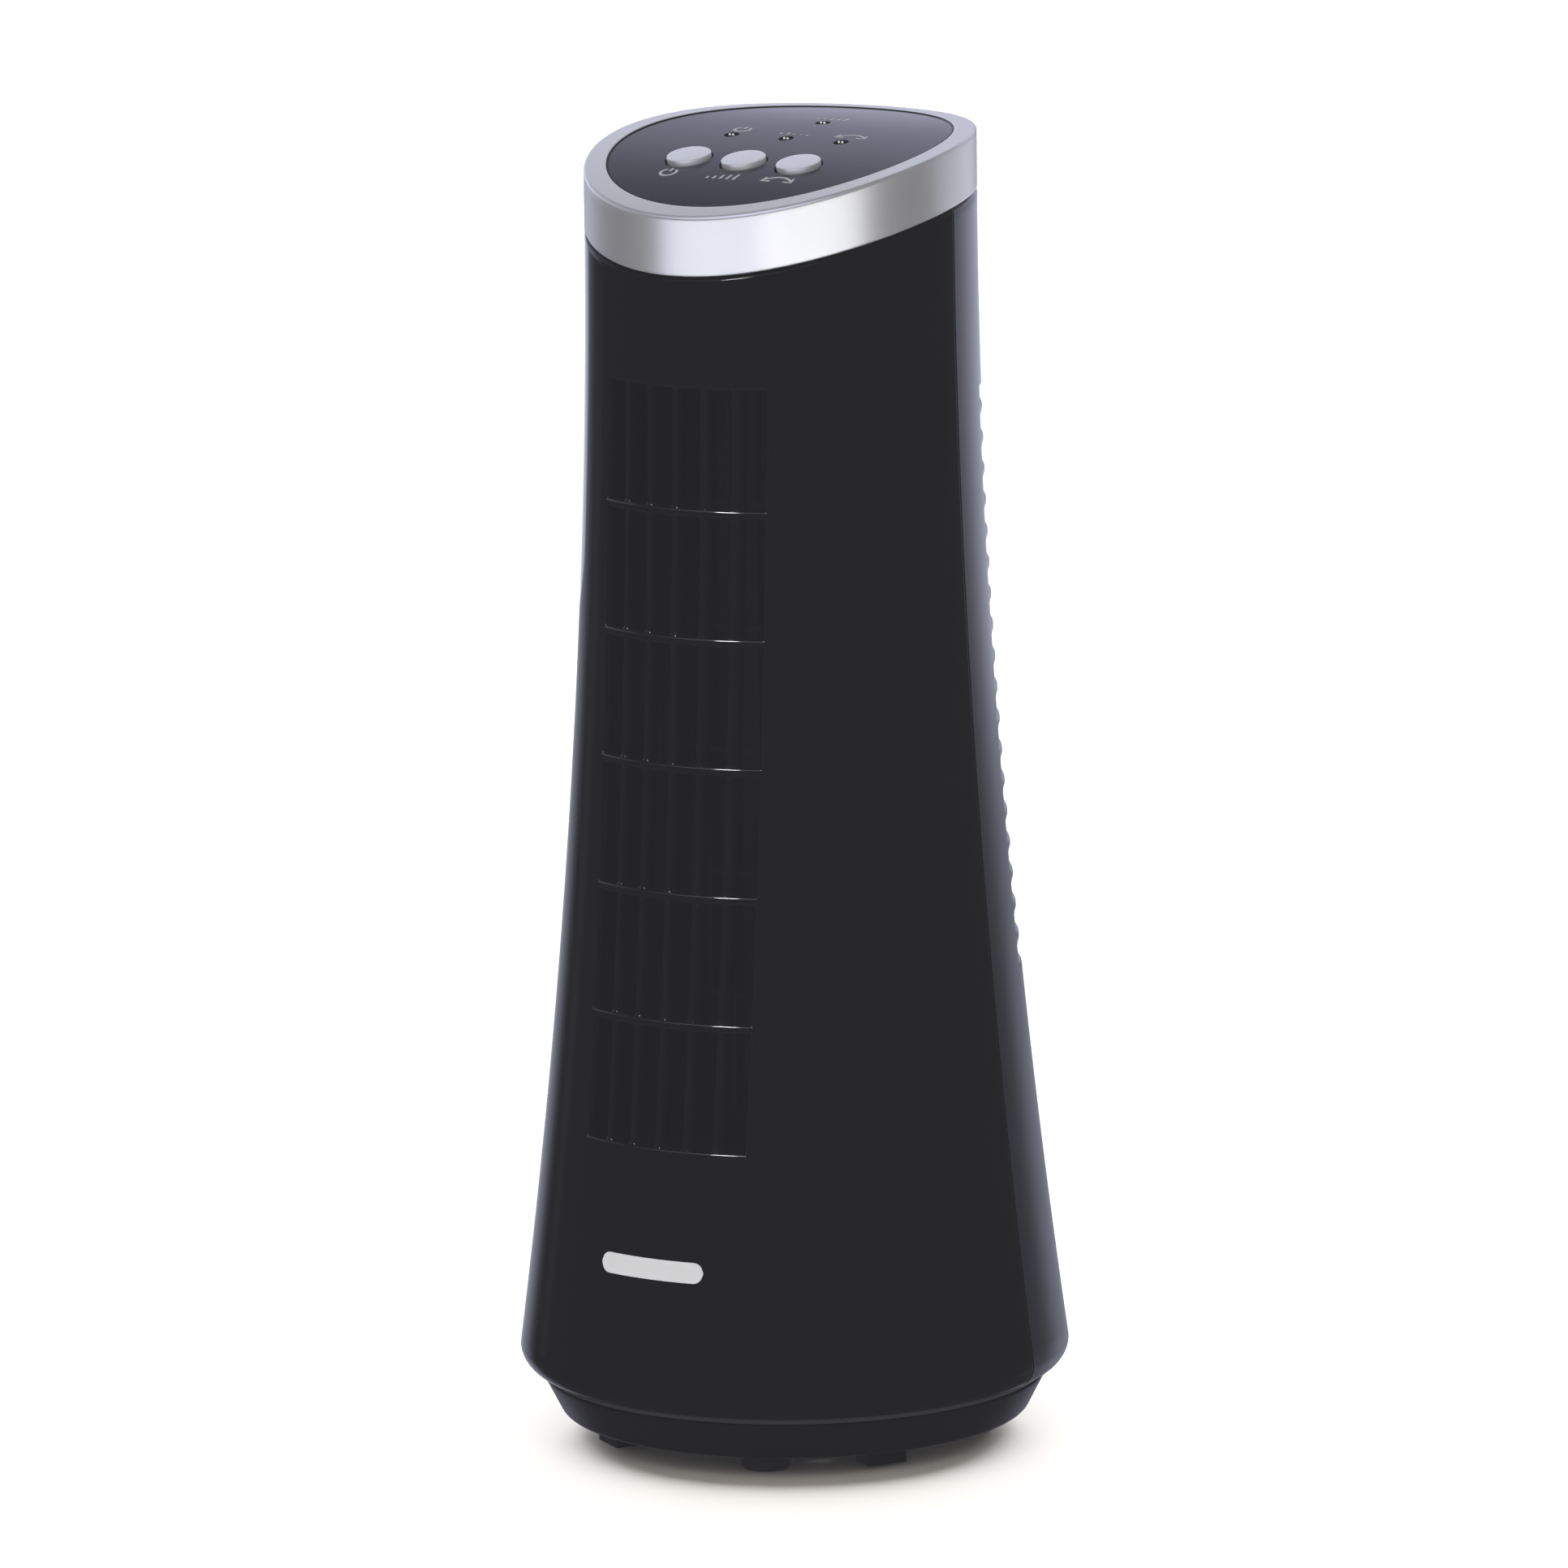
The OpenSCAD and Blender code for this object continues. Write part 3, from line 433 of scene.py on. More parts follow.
def shell_skin(name, columns, azimuth_of, stops, step, is_open, squeeze=lambda column, z: 0.0):
    """The outer skin of a shell, as a grid of columns and rows, less the cells that are open.

    azimuth_of(column, r) is a column's azimuth on radius r. stops are heights with a row of their own.
    squeeze(column, z) moves a point in towards the axis. Above BLEND_Z the rows slant to meet the top."""
    fixed = foot_rows()
    fixed += [(tower_r(z), z) for z in lines([EDGE_Z, *stops, BLEND_Z], step)[1:]]
    top_rows = 12
    blends = [i / top_rows for i in range(1, top_rows + 1)]
    bm = bmesh.new()
    grid = []
    for column in columns:
        points = [place(azimuth_of(column, r), r - squeeze(column, z), z) for r, z in fixed]
        for t in blends:
            azimuth = azimuth_of(column, TOP_R)
            z = BLEND_Z + (shell_top(azimuth) - BLEND_Z) * t
            points.append(place(azimuth_of(column, tower_r(z)), tower_r(z), z))
        grid.append([bm.verts.new(p) for p in points])
    heights = [z for _, z in fixed]
    for i in range(len(columns) - 1):
        for j in range(len(grid[0]) - 1):
            inside_fixed = j < len(heights) - 1
            if inside_fixed and is_open(columns[i], columns[i + 1], heights[j], heights[j + 1]):
                continue
            bm.faces.new((grid[i][j], grid[i + 1][j], grid[i + 1][j + 1], grid[i][j + 1]))
    loose = [v for v in bm.verts if not v.link_faces]
    bmesh.ops.delete(bm, geom=loose, context="VERTS")
    return new_object(name, bm)


def row_span(row):
    """Lowest and highest edge of a row of the outlet's cells."""
    low = OUTLET_Z + row * ROW_PITCH
    return low, low + ROW_PITCH - BAR_T


def front_skin():
    """The front skin, with the outlet's cells open between its cross bars."""
    side_columns = 26
    across = spread(-OUTLET_HALF_W, OUTLET_HALF_W, 2 * MM)
    sides = [i / side_columns for i in range(1, side_columns + 1)]
    columns = [("side", -s) for s in reversed(sides)] + [("across", x) for x in across]
    columns += [("side", s) for s in sides]

    def azimuth_of(column, r):
        kind, value = column
        if kind == "across":
            return math.asin(value / r)
        edge = math.asin(OUTLET_HALF_W / r)
        turn = edge + (seam_azimuth(r, -1) - edge) * abs(value)
        return math.copysign(turn, value)

    def is_open(left, right, low, high):
        if left[0] != "across" or right[0] != "across":
            return False
        middle = (low + high) / 2
        return any(a < middle < b for a, b in map(row_span, range(ROWS)))

    stops = [z for row in range(ROWS) for z in row_span(row)]
    return shell_skin("front_cover_skin", columns, azimuth_of, stops, 2.6 * MM, is_open)


def louvre_gap_span(i):
    """Lowest and highest edge of an air slot."""
    low = LOUVRE_Z + i * LOUVRE_PITCH
    return low, low + LOUVRE_GAP


def rear_skin():
    """The rear skin, with the air slots open between rounded bars."""
    side_columns = 10
    start = math.pi - LOUVRE_HALF_TURN
    sides = [i / side_columns for i in range(side_columns + 1)]
    slotted = spread(start, math.pi + LOUVRE_HALF_TURN, math.radians(2.5))
    columns = [("side", s) for s in sides[:-1]] + [("slotted", a) for a in slotted]
    columns += [("far", s) for s in reversed(sides[:-1])]

    def azimuth_of(column, r):
        kind, value = column
        if kind == "slotted":
            return value
        first = seam_azimuth(r, 1)
        turn = first + (start - first) * value
        return turn if kind == "side" else 2 * math.pi - turn

    def is_open(left, right, low, high):
        if left[0] == "side" or right[0] == "far":
            return False
        middle = (low + high) / 2
        return any(a < middle < b for a, b in map(louvre_gap_span, range(LOUVRE_COUNT)))

    def squeeze(column, z):
        """Rounds each bar: it falls away towards its upper and lower edge."""
        if column[0] != "slotted":
            return 0.0
        inner = LOUVRE_HALF_TURN - abs(column[1] - math.pi)
        if inner < math.radians(1.2):
            return 0.0
        first_middle = LOUVRE_Z - LOUVRE_BAR / 2
        nearest = round((z - first_middle) / LOUVRE_PITCH)
        if not 0 <= nearest <= LOUVRE_COUNT:
            return 0.0
        from_middle = abs(z - first_middle - nearest * LOUVRE_PITCH) / (LOUVRE_BAR / 2)
        lowest = nearest == 0 and z < first_middle
        highest = nearest == LOUVRE_COUNT and z > LOUVRE_Z + (LOUVRE_COUNT - 0.5) * LOUVRE_PITCH
        if from_middle > 1.001 or lowest or highest:
            return 0.0
        return LOUVRE_FALL * from_middle ** 3

    stops = []
    for i in range(LOUVRE_COUNT + 1):
        bottom = LOUVRE_Z - LOUVRE_BAR + i * LOUVRE_PITCH
        stops += [bottom + LOUVRE_BAR * s for s in (0, 0.12, 0.3, 0.5, 0.7, 0.88, 1)]
    return shell_skin("rear_shell_skin", columns, azimuth_of, stops, 4.1 * MM, is_open, squeeze)


def rib_heights(z0, z1, fillets, step):
    """Heights of a rib's rows, closer together where it spreads into a cross bar."""
    ends = [f + d for f in fillets for d in (-RIB_FILLET, 0, RIB_FILLET)]
    rows = lines(sorted({z0, z1, *[z for z in ends if z0 < z < z1]}), step)
    between = [f + s * RIB_FILLET * d for f in fillets for s in (-1, 1) for d in (0.1, 0.3, 0.6)]
    rows += [z for z in between if z0 < z < z1]
    return sorted(set(rows))


def rib_section(half_w, round_r, front, back):
    """(across, inset) of the points round a rib's section, with both front corners rounded."""
    section = [(-half_w, back), (-half_w, front + round_r)]
    section += [(-half_w + round_r * (1 - math.cos(t)), front + round_r * (1 - math.sin(t)))
                for t in spread(0, math.pi / 2, math.pi / 8)[1:]]
    return section + [(-u, inset) for u, inset in reversed(section)]


def fin(name, base_azimuth, z0, z1, front, back, half_w, step=1.5 * MM, fillets=(), across=None):
    """An upright rib that follows the tower's wall from inset front to inset back, its front rounded.

    It stands at base_azimuth, or at x = across. fillets are heights where it spreads into a cross bar,
    and the faces there have material index 1."""
    bm = bmesh.new()
    loops, spreads = [], []
    for z in rib_heights(z0, z1, fillets, step):
        near = min([abs(z - f) for f in fillets], default=1)
        extra = 0.0
        if near < RIB_FILLET:
            extra = RIB_FILLET - math.sqrt(RIB_FILLET ** 2 - (RIB_FILLET - near) ** 2)
        loop = []
        for u, inset in rib_section(half_w + extra, half_w * 0.8, front, back):
            r = tower_r(z) - inset
            if across is None:
                loop.append(bm.verts.new(place(base_azimuth + u / r, r, z)))
            else:
                x = across + u
                loop.append(bm.verts.new((x, -math.sqrt(r * r - x * x), z)))
        loops.append(loop)
        spreads.append(near <= RIB_FILLET + 1e-6)
    for i, (a, b) in enumerate(zip(loops, loops[1:])):
        for j in range(len(a)):
            k = (j + 1) % len(a)
            face = bm.faces.new((a[j], a[k], b[k], b[j]))
            face.material_index = int(spreads[i] and spreads[i + 1])
    bm.faces.new(loops[0])
    bm.faces.new(loops[-1])
    return new_object(name, bm)


def front_cover():
    """The glossy cover with its outlet, and the upright ribs of the grille."""
    skin = round_top_edge(solidify(front_skin(), WALL))
    skin.data.materials.append(MATERIALS["gloss_black"])
    skin.data.materials.append(MATERIALS["gloss_edge"])
    shell = bevel(skin, 0.55 * MM, slot_index=1)
    edges = [z for row in range(ROWS) for z in row_span(row)]
    pitch = 2 * OUTLET_HALF_W / COLUMNS
    low, high = OUTLET_Z - 1.2 * MM, OUTLET_Z + ROWS * ROW_PITCH - 0.8 * MM
    ribs = []
    for i in range(1, COLUMNS):
        x = -OUTLET_HALF_W + i * pitch
        ribs.append(fin(f"rib_{i}", 0, low, high, RIB_FRONT, RIB_BACK, RIB_T / 2, fillets=edges,
                        across=x))
    grille = join(ribs, "grille_ribs")
    finish_piece(grille, "tower", "gloss_black", paint="grille_black", edge="gloss_edge")
    finish_piece(shell, "tower", "gloss_black", ["front_cover"], edge="gloss_edge")


def rod_along_y(name, x, z, r, y0, y1, bore=0.0):
    """A rod or tube along Y, used for the screw wells and for cutting round holes."""
    turn = Matrix.Translation((x, 0, z)) @ Matrix.Rotation(-math.pi / 2, 4, "X")
    if bore:
        piece = ring_mesh(name, lambda _: [(bore, y0), (r, y0), (r, y1), (bore, y1)], 48)
    else:
        piece = lathe(name, [(0, y0), (r, y0), (r, y1), (0, y1)], 48)
    piece.data.transform(turn)
    return piece


def rear_shell():
    """The satin shell with its screw wells, and the upright stays inside the louvres."""
    shell = solidify(rear_skin(), WALL)
    tubes = []
    for i, (x, z) in enumerate(WELLS):
        cut(shell, rod_along_y("well_cutter", x, z, WELL_BORE, 12 * MM, 90 * MM))
        tube = rod_along_y(f"well_{i}", x, z, WELL_R, 4 * MM, 60 * MM, WELL_BORE)
        # The tube ends inside the wall, whose face slants across it
        for vert in tube.data.vertices:
            in_wall = tower_r(vert.co.z) - WALL / 2
            vert.co.y = min(vert.co.y, math.sqrt(in_wall ** 2 - vert.co.x ** 2))
        tubes.append(tube)
    bevel(round_top_edge(shell), 0.35 * MM, 2)
    finish_piece(shell, "tower", "satin_black", ["rear_shell"])
    finish_piece(join(tubes, "screw_wells"), "tower", "satin_black")
    low, high = LOUVRE_Z - 4 * MM, LOUVRE_Z + LOUVRE_COUNT * LOUVRE_PITCH
    front, back, half_w = WALL - 0.6 * MM, WALL + 1.6 * MM, 1 * MM
    stays = [
        fin(f"stay_{i}", math.pi + math.radians(turn), low, high, front, back, half_w, step=4 * MM)
        for i, turn in enumerate(STAY_TURNS)
    ]
    finish_piece(join(stays, "louvre_stays"), "tower", "satin_black")


# ---- Top ----
def top_collar():
    """The silver ring round the panel: one section all the way round, let down from the dome."""
    outer, inner = TOP_R, PANEL_R + SHADE_LINE_W
    lip = 0.9 * MM
    soft = 0.4 * MM

    def section(azimuth):
        line = arc(outer - soft, COLLAR_H - soft, soft, 90, 0, 4)
        line += [(outer, depth) for depth in spread(COLLAR_H - 2 * soft, 2 * lip, 3 * MM)]
        line += arc(outer - lip, lip, lip, 0, -90, 8)
        line += [(r, 0) for r in spread(outer - 1.5 * lip, inner + 2 * soft, 1.5 * MM)]
        line += arc(inner + soft, soft, soft, -90, -180, 4)
        line += [(inner, 4 * soft), (inner, SKIRT_DEPTH)]
        line += [(outer - WALL, SKIRT_DEPTH), (outer - WALL, COLLAR_H)]
        return [(r, dome_z(-r * math.cos(azimuth), depth)) for r, depth in line]

    finish_piece(ring_mesh("collar_ring", section, 240), "tower", "collar_silver", ["top_collar"])


def panel_ledge():
    """The ledge that carries the panel, with an upright black lip in the gap round it: a painted shadow
    line where the gap is in shade.
    """
    lip_in, lip_out, lip_top = PANEL_R, PANEL_R + SHADE_LINE_W, 0.12 * MM
    ledge_end, under = 46 * MM, LEDGE_DEPTH + LEDGE_T
    profile = ((LEDGE_R, LEDGE_DEPTH), (lip_in, LEDGE_DEPTH), (lip_in, lip_top), (lip_out, lip_top),
               (lip_out, LEDGE_DEPTH), (ledge_end, LEDGE_DEPTH), (ledge_end, under), (LEDGE_R, under))

    def section(azimuth):
        return [(r, dome_z(-r * math.cos(azimuth), depth)) for r, depth in profile]

    # Ledge and lip are painted black, so the lip shows as a painted shadow line round the panel
    finish_piece(ring_mesh("panel_ledge", section, 160), "tower", "collar_silver", paint="base_black")


def button_places():
    """Centre of each button's cap on the panel, from the CAD nodes, as name, body and x."""
    names = (("power_button", "power_key"), ("speed_button", "speed_key"), ("swing_button", "swing_key"))
    return [(node, body, sum(corner.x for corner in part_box(node)) / 2) for node, body in names]


SLOPE = math.asin((CREST_Y - BUTTON_Y) / DOME_R)
PANEL_FRAME = Matrix.Translation((0, BUTTON_Y, dome_z(BUTTON_Y))) @ Matrix.Rotation(SLOPE, 4, "X")


def on_panel(x, along, raised=0.0):
    """A point on the panel's surface, from x and the distance up the slope from the button row."""
    flat = PANEL_FRAME @ Vector((x, along, 0))
    return Vector((x, flat.y, dome_z(flat.y, inset=PANEL_INSET) + raised))


def circle_points(cx, cy, r, count):
    return [(cx + r * math.cos(2 * math.pi * i / count), cy + r * math.sin(2 * math.pi * i / count))
            for i in range(count)]


def control_panel():
    """The domed panel, triangulated between its rim and its holes."""
    rim = circle_points(0, 0, PANEL_R, 160)
    holes = [(x, BUTTON_Y, BUTTON_R + BUTTON_GAP, 64) for _, _, x in button_places()]
    holes += [(x, on_panel(x, along).y, WINDOW_R, 40) for x, along in WINDOWS]
    loops = [rim] + [circle_points(x, y, r, count) for x, y, r, count in holes]
    inner = [(x, y)
             for x in spread(-PANEL_R, PANEL_R, 3 * MM)
             for y in spread(-PANEL_R, PANEL_R, 3 * MM)
             if math.hypot(x, y) < PANEL_R - 1.5 * MM
             and all(math.hypot(x - hx, y - hy) > hr + 1 * MM for hx, hy, hr, _ in holes)]
    points, edges = [], []
    for loop in loops:
        first = len(points)
        points += loop
        edges += [(first + i, first + (i + 1) % len(loop)) for i in range(len(loop))]
    points += inner
    verts, _, faces, *_ = delaunay_2d_cdt([Vector(p) for p in points], edges, [], 1, 1e-7)
    bm = bmesh.new()
    made = [bm.verts.new((v.x, v.y, dome_z(v.y, inset=PANEL_INSET))) for v in verts]
    for face in faces:
        cx = sum(verts[i].x for i in face) / len(face)
        cy = sum(verts[i].y for i in face) / len(face)
        if any(math.hypot(cx - hx, cy - hy) < hr * 0.999 for hx, hy, hr, _ in holes):
            continue
        bm.faces.new([made[i] for i in face])
    bmesh.ops.delete(bm, geom=[v for v in bm.verts if not v.link_faces], context="VERTS")
    panel = new_object("panel_face", bm)
    if sum(p.normal.z for p in panel.data.polygons) < 0:
        panel.data.flip_normals()
    bevel(solidify(panel, PANEL_T), 0.18 * MM, 2)
    finish_piece(panel, "tower", "panel_grey", ["control_panel"])


def buttons():
    """Three nearly flat round caps with a crisp edge, square to the panel's slope."""
    cap_r, edge = BUTTON_R - 0.1 * MM, 0.3 * MM
    crown = 0.12 * MM
    low = -2.6 * MM
    section = [(0, low), (cap_r, low), (cap_r, -1 * MM)]
    shoulder = BUTTON_PROUD - crown - edge
    section += arc(cap_r - edge, shoulder, edge, 0, 85, 6)
    top_r, top_z = section[-1]
    section += [(top_r * (1 - s), top_z + (BUTTON_PROUD - top_z) * (1 - (1 - s) ** 2))
                for s in (0.12, 0.25, 0.4, 0.55, 0.7, 0.85, 1)]
    for node, body, x in button_places():
        matrix = PANEL_FRAME @ Matrix.Translation((x, 0, 0))
        finish_piece(lathe(f"{node}_cap", section, 72, matrix), body, "button_silver", [node])


def indicator_windows():
    """Smoked lenses just below the panel's face, each with a pair of small white studs: painted highlights
    that stand in for two glints on the lens.
    """
    lens_r, under = WINDOW_R - 0.03 * MM, -2 * MM
    sunk, crown = -WINDOW_SUNK, 0.1 * MM
    lenses, studs = [], []
    for i, (x, along) in enumerate(WINDOWS):
        centre = on_panel(x, along)
        tilt = math.asin((CREST_Y - centre.y) / DOME_R)
        matrix = Matrix.Translation(centre) @ Matrix.Rotation(tilt, 4, "X")
        section = [(0, under), (lens_r, under), (lens_r, sunk)]
        section += [(lens_r * (1 - s), sunk + crown * (1 - (1 - s) ** 2)) for s in (0.2, 0.4, 0.6, 0.8, 1)]
        lenses.append(lathe(f"lens_{i}", section, 40, matrix))
        for side in (-1, 1):
            spot = matrix @ Matrix.Translation((side * STUD_HALF_GAP, -0.1 * MM, 0))
            dome = arc(0, 0, STUD_R, 0, 90, 5)[1:-1]
            stud = [(0, sunk), (STUD_R, sunk), (STUD_R, 0), *dome, (0, STUD_R)]
            studs.append(lathe(f"stud_{i}{side}", stud, 16, spot))
    finish_piece(join(lenses, "lenses"), "tower", "window_smoke", ["indicator_windows"])
    # The studs are plain white, painted highlights in place of the glints on each lens
    finish_piece(join(studs, "lamp_studs"), "tower", "lamp_white")


# ---- Printed marks on the panel: plain symbols, no lettering ----
def stroke(points, width):
    """The two edges of a band of a given width along a line of (x, along) points on the panel."""
    half = width / 2
    left, right = [], []
    for i, point in enumerate(points):
        a = Vector(points[max(0, i - 1)])
        b = Vector(points[min(len(points) - 1, i + 1)])
        side = Vector((-(b - a).y, (b - a).x)).normalized() * half
        left.append(Vector(point) + side)
        right.append(Vector(point) - side)
    return left, right


def power_mark(cx, cy):
    """A ring that is open at the top, with a bar in the opening."""
    r = 2.1 * MM
    return [arc(cx, cy, r, 125, 415, 20), [(cx, cy + r * 0.25), (cx, cy + r * 1.25)]]


def level_mark(cx, cy, lit):
    """A ramp of five bars: the first lit ones rise and the others are dots."""
    pitch, dot = 1.95 * MM, 0.8 * MM
    foot = cy - 1.8 * MM
    out = []
    for i in range(5):
        x = cx + (i - 2) * pitch
        height = (1.1 + 0.6 * i) * MM if i < lit else dot
        out.append([(x, foot), (x, foot + height)])
    return out


def swing_mark(cx, cy):
    """A shallow arc with an arrow head at each end."""
    reach, rise = 4 * MM, 2 * MM
    bow = [(cx + reach * t, cy - 0.4 * MM + rise * (1 - t * t)) for t in spread(-1, 1, 0.1)]
    head = ((-0.1 * MM, 1.3 * MM), (0.4 * MM, -1.1 * MM), (-2.1 * MM, -1 * MM))
    heads = [[(cx + side * (reach + out), cy + up) for out, up in head] for side in (-1, 1)]
    return [bow, *heads]


def panel_marks():
    """A mark below each button and above each window, as one thin raised print."""
    below, above = -9.6 * MM, 5.2 * MM
    marks = power_mark(-BUTTON_PITCH, below)
    marks += level_mark(0, below, 5)
    marks += swing_mark(BUTTON_PITCH, below)
    marks += power_mark(-BUTTON_PITCH, WINDOWS[0][1] + above)
    marks += level_mark(0, WINDOWS[1][1] + above, 2)
    marks += swing_mark(BUTTON_PITCH, WINDOWS[2][1] + above)
    marks += level_mark(0, WINDOWS[3][1] + above, 5)
    bm = bmesh.new()
    for mark in marks:
        left, right = stroke(mark, MARK_W)
        pairs = [[bm.verts.new(on_panel(p.x, p.y, MARK_RAISED)) for p in pair]
                 for pair in zip(left, right)]
        for a, b in zip(pairs, pairs[1:]):
            bm.faces.new((a[0], a[1], b[1], b[0]))
    piece = new_object("panel_marks", bm)
    if sum(p.normal.z for p in piece.data.polygons) < 0:
        piece.data.flip_normals()
    finish_piece(solidify(piece, MARK_T), "tower", "panel_grey", paint="print_grey")


# ---- Badge, lip and base ----
def badge():
    """A blank pill that follows the cover's face."""
    bm = bmesh.new()
    reach = BADGE_HALF_W + BADGE_HALF_H
    xs = spread(-reach, reach, 0.6 * MM)

    def half_height(x):
        over = max(0.0, abs(x) - BADGE_HALF_W)
        least = 0.12 * BADGE_HALF_H
        return math.sqrt(max(BADGE_HALF_H ** 2 - over ** 2, least ** 2))

    grid = []
    for x in xs:
        column = []
        for t in spread(-1, 1, 0.2):
            z = BADGE_Z + half_height(x) * t
            r = tower_r(z) + BADGE_PROUD
            column.append(bm.verts.new((x, -math.sqrt(r * r - x * x), z)))
        grid.append(column)
    for a, b in zip(grid, grid[1:]):
        for j in range(len(a) - 1):
            bm.faces.new((a[j], b[j], b[j + 1], a[j + 1]))
    piece = new_object("badge_plate", bm)
    if sum(p.normal.y for p in piece.data.polygons) > 0:
        piece.data.flip_normals()
    bevel(solidify(piece, BADGE_T), 0.12 * MM, 2)
    finish_piece(piece, "tower", "badge_silver", ["badge"])


def tower_lip():
    """The tower's floor: a rim as wide as the base's top, a wall inside the shells and a plate."""
    low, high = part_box("tower_floor")[0].z, TOWER_Z
    soft = 0.3 * MM
    plate_in, lip_in = 16 * MM, 50 * MM
    wall_out, wall_in, wall_h = 57.5 * MM, 55.5 * MM, 7 * MM
    plate_t = 2 * MM
    section = [(lip_in, low), (BASE_TOP_R - soft, low)]
    section += arc(BASE_TOP_R - soft, low + soft, soft, -90, 0, 4)[1:]
    section += arc(BASE_TOP_R - soft, high - soft, soft, 0, 90, 4)
    section += [(wall_out, high), (wall_out, high + wall_h), (wall_in, high + wall_h)]
    section += [(wall_in, high + plate_t), (plate_in, high + plate_t), (plate_in, high), (lip_in, high)]
    finish_piece(ring_mesh("tower_lip", lambda _: section, 240), "tower", "floor_grey", ["tower_floor"])


def base_shell():
    """The base's slanted wall and top, with the hollow pivot that the tower turns on."""
    soft = 0.5 * MM
    ceiling = BASE_TOP_Z - WALL
    section = [(BASE_RIM_R - 2 * MM, BASE_RIM_Z), (BASE_RIM_R, BASE_RIM_Z)]
    section += arc(BASE_RIM_R, BASE_RIM_Z + BASE_RIM_EDGE, BASE_RIM_EDGE, -90, -30, 8)[1:]
    section += [(BASE_TOP_R - 0.15 * MM, BASE_TOP_Z - soft)]
    section += arc(BASE_TOP_R - soft, BASE_TOP_Z - soft, soft, 10, 90, 4)
    section += [(PIVOT_R, BASE_TOP_Z), (PIVOT_R, PIVOT_TOP), (PIVOT_BORE, PIVOT_TOP), (PIVOT_BORE, ceiling)]
    section += [(BASE_TOP_R - 3 * MM, ceiling), (BASE_RIM_R + 0.7 * MM, BASE_RIM_Z + 3.5 * MM)]
    section += [(BASE_RIM_R - 2 * MM, BASE_RIM_Z + 1.5 * MM)]
    shell = ring_mesh("base_cone", lambda _: section, 240)
    inlet_z = sum(corner.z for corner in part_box("cord_gland")) / 2
    cut(shell, rod_along_y("inlet_cutter", 0, inlet_z, INLET_R, 40 * MM, 70 * MM))
    finish_piece(shell, "base", "base_black", ["base_shell"])


front_cover()
rear_shell()
top_collar()
panel_ledge()
control_panel()
buttons()
indicator_windows()
panel_marks()
badge()
tower_lip()
base_shell()


# ---- Floor, light and camera ----
def floor():
    """A plain pale floor, so wide that its edge is far out of view."""
    bm = bmesh.new()
    bmesh.ops.create_circle(bm, cap_ends=True, radius=12, segments=96)
    piece = new_object("floor", bm)
    mat = bpy.data.materials.new("floor_white")
    mat.use_nodes = True
    shader = mat.node_tree.nodes["Principled BSDF"]
    shader.inputs["Base Color"].default_value = (0.45, 0.415, 0.38, 1)
    shader.inputs["Roughness"].default_value = 0.9
    shader.inputs["Specular IOR Level"].default_value = 0.1
    piece.data.materials.append(mat)
    piece.visible_glossy = False
    return piece


def lobe(nodes, links, across, height, azimuth, inner, outer, low, high, strength):
    """Brightness of one soft panel: full within inner degrees of its azimuth and gone past outer.

    It fades over the heights low and high, each a pair: gone and full, as the sine of the elevation."""
    turn = math.radians(azimuth)
    facing = nodes.new("ShaderNodeVectorMath")
    facing.operation = "DOT_PRODUCT"
    facing.inputs[1].default_value = (math.sin(turn), -math.cos(turn), 0)
    links.new(across, facing.inputs[0])
    product = None
    ramps = [(facing.outputs["Value"], math.cos(math.radians(outer)), math.cos(math.radians(inner)))]
    ramps += [(height, *low), (height, *high)]
    for source, gone, full in ramps:
        ramp = nodes.new("ShaderNodeMapRange")
        ramp.interpolation_type = "SMOOTHSTEP"
        reverse = gone > full
        ramp.inputs["From Min"].default_value = min(gone, full)
        ramp.inputs["From Max"].default_value = max(gone, full)
        ramp.inputs["To Min"].default_value = 1 if reverse else 0
        ramp.inputs["To Max"].default_value = 0 if reverse else 1
        links.new(source, ramp.inputs["Value"])
        factor = ramp.outputs["Result"]
        if product is None:
            product = factor
            continue
        times = nodes.new("ShaderNodeMath")
        times.operation = "MULTIPLY"
        links.new(product, times.inputs[0])
        links.new(factor, times.inputs[1])
        product = times.outputs["Value"]
    scaled = nodes.new("ShaderNodeMath")
    scaled.operation = "MULTIPLY"
    scaled.inputs[1].default_value = strength
    links.new(product, scaled.inputs[0])
    return scaled.outputs["Value"]


# Soft panels of the room that gloss mirrors: azimuth, inner and outer half-width in degrees, the
# heights (gone, full) over which the lower and the upper edge fade, and brightness. Azimuths here and
# in the lights are 0 in front of the fan and grow towards +X.
ROOM_LEVEL = 0.05
WHITE_ROOM = 1.08
PANELS = [
    (208, 28, 46, (-0.6, -0.35), (-0.06, -0.19), 0.56),
    (165, 5, 26, (-0.6, -0.35), (-0.08, -0.19), 0.30),
    (238, 18, 29, (-0.14, -0.09), (0.3, 0.1), 0.80),
    (213, 40, 100, (-0.03, 0.10), (0.74, 0.38), 0.60),
    (-6, 30, 60, (0.5, 0.62), (0.98, 0.9), 1.2),
]


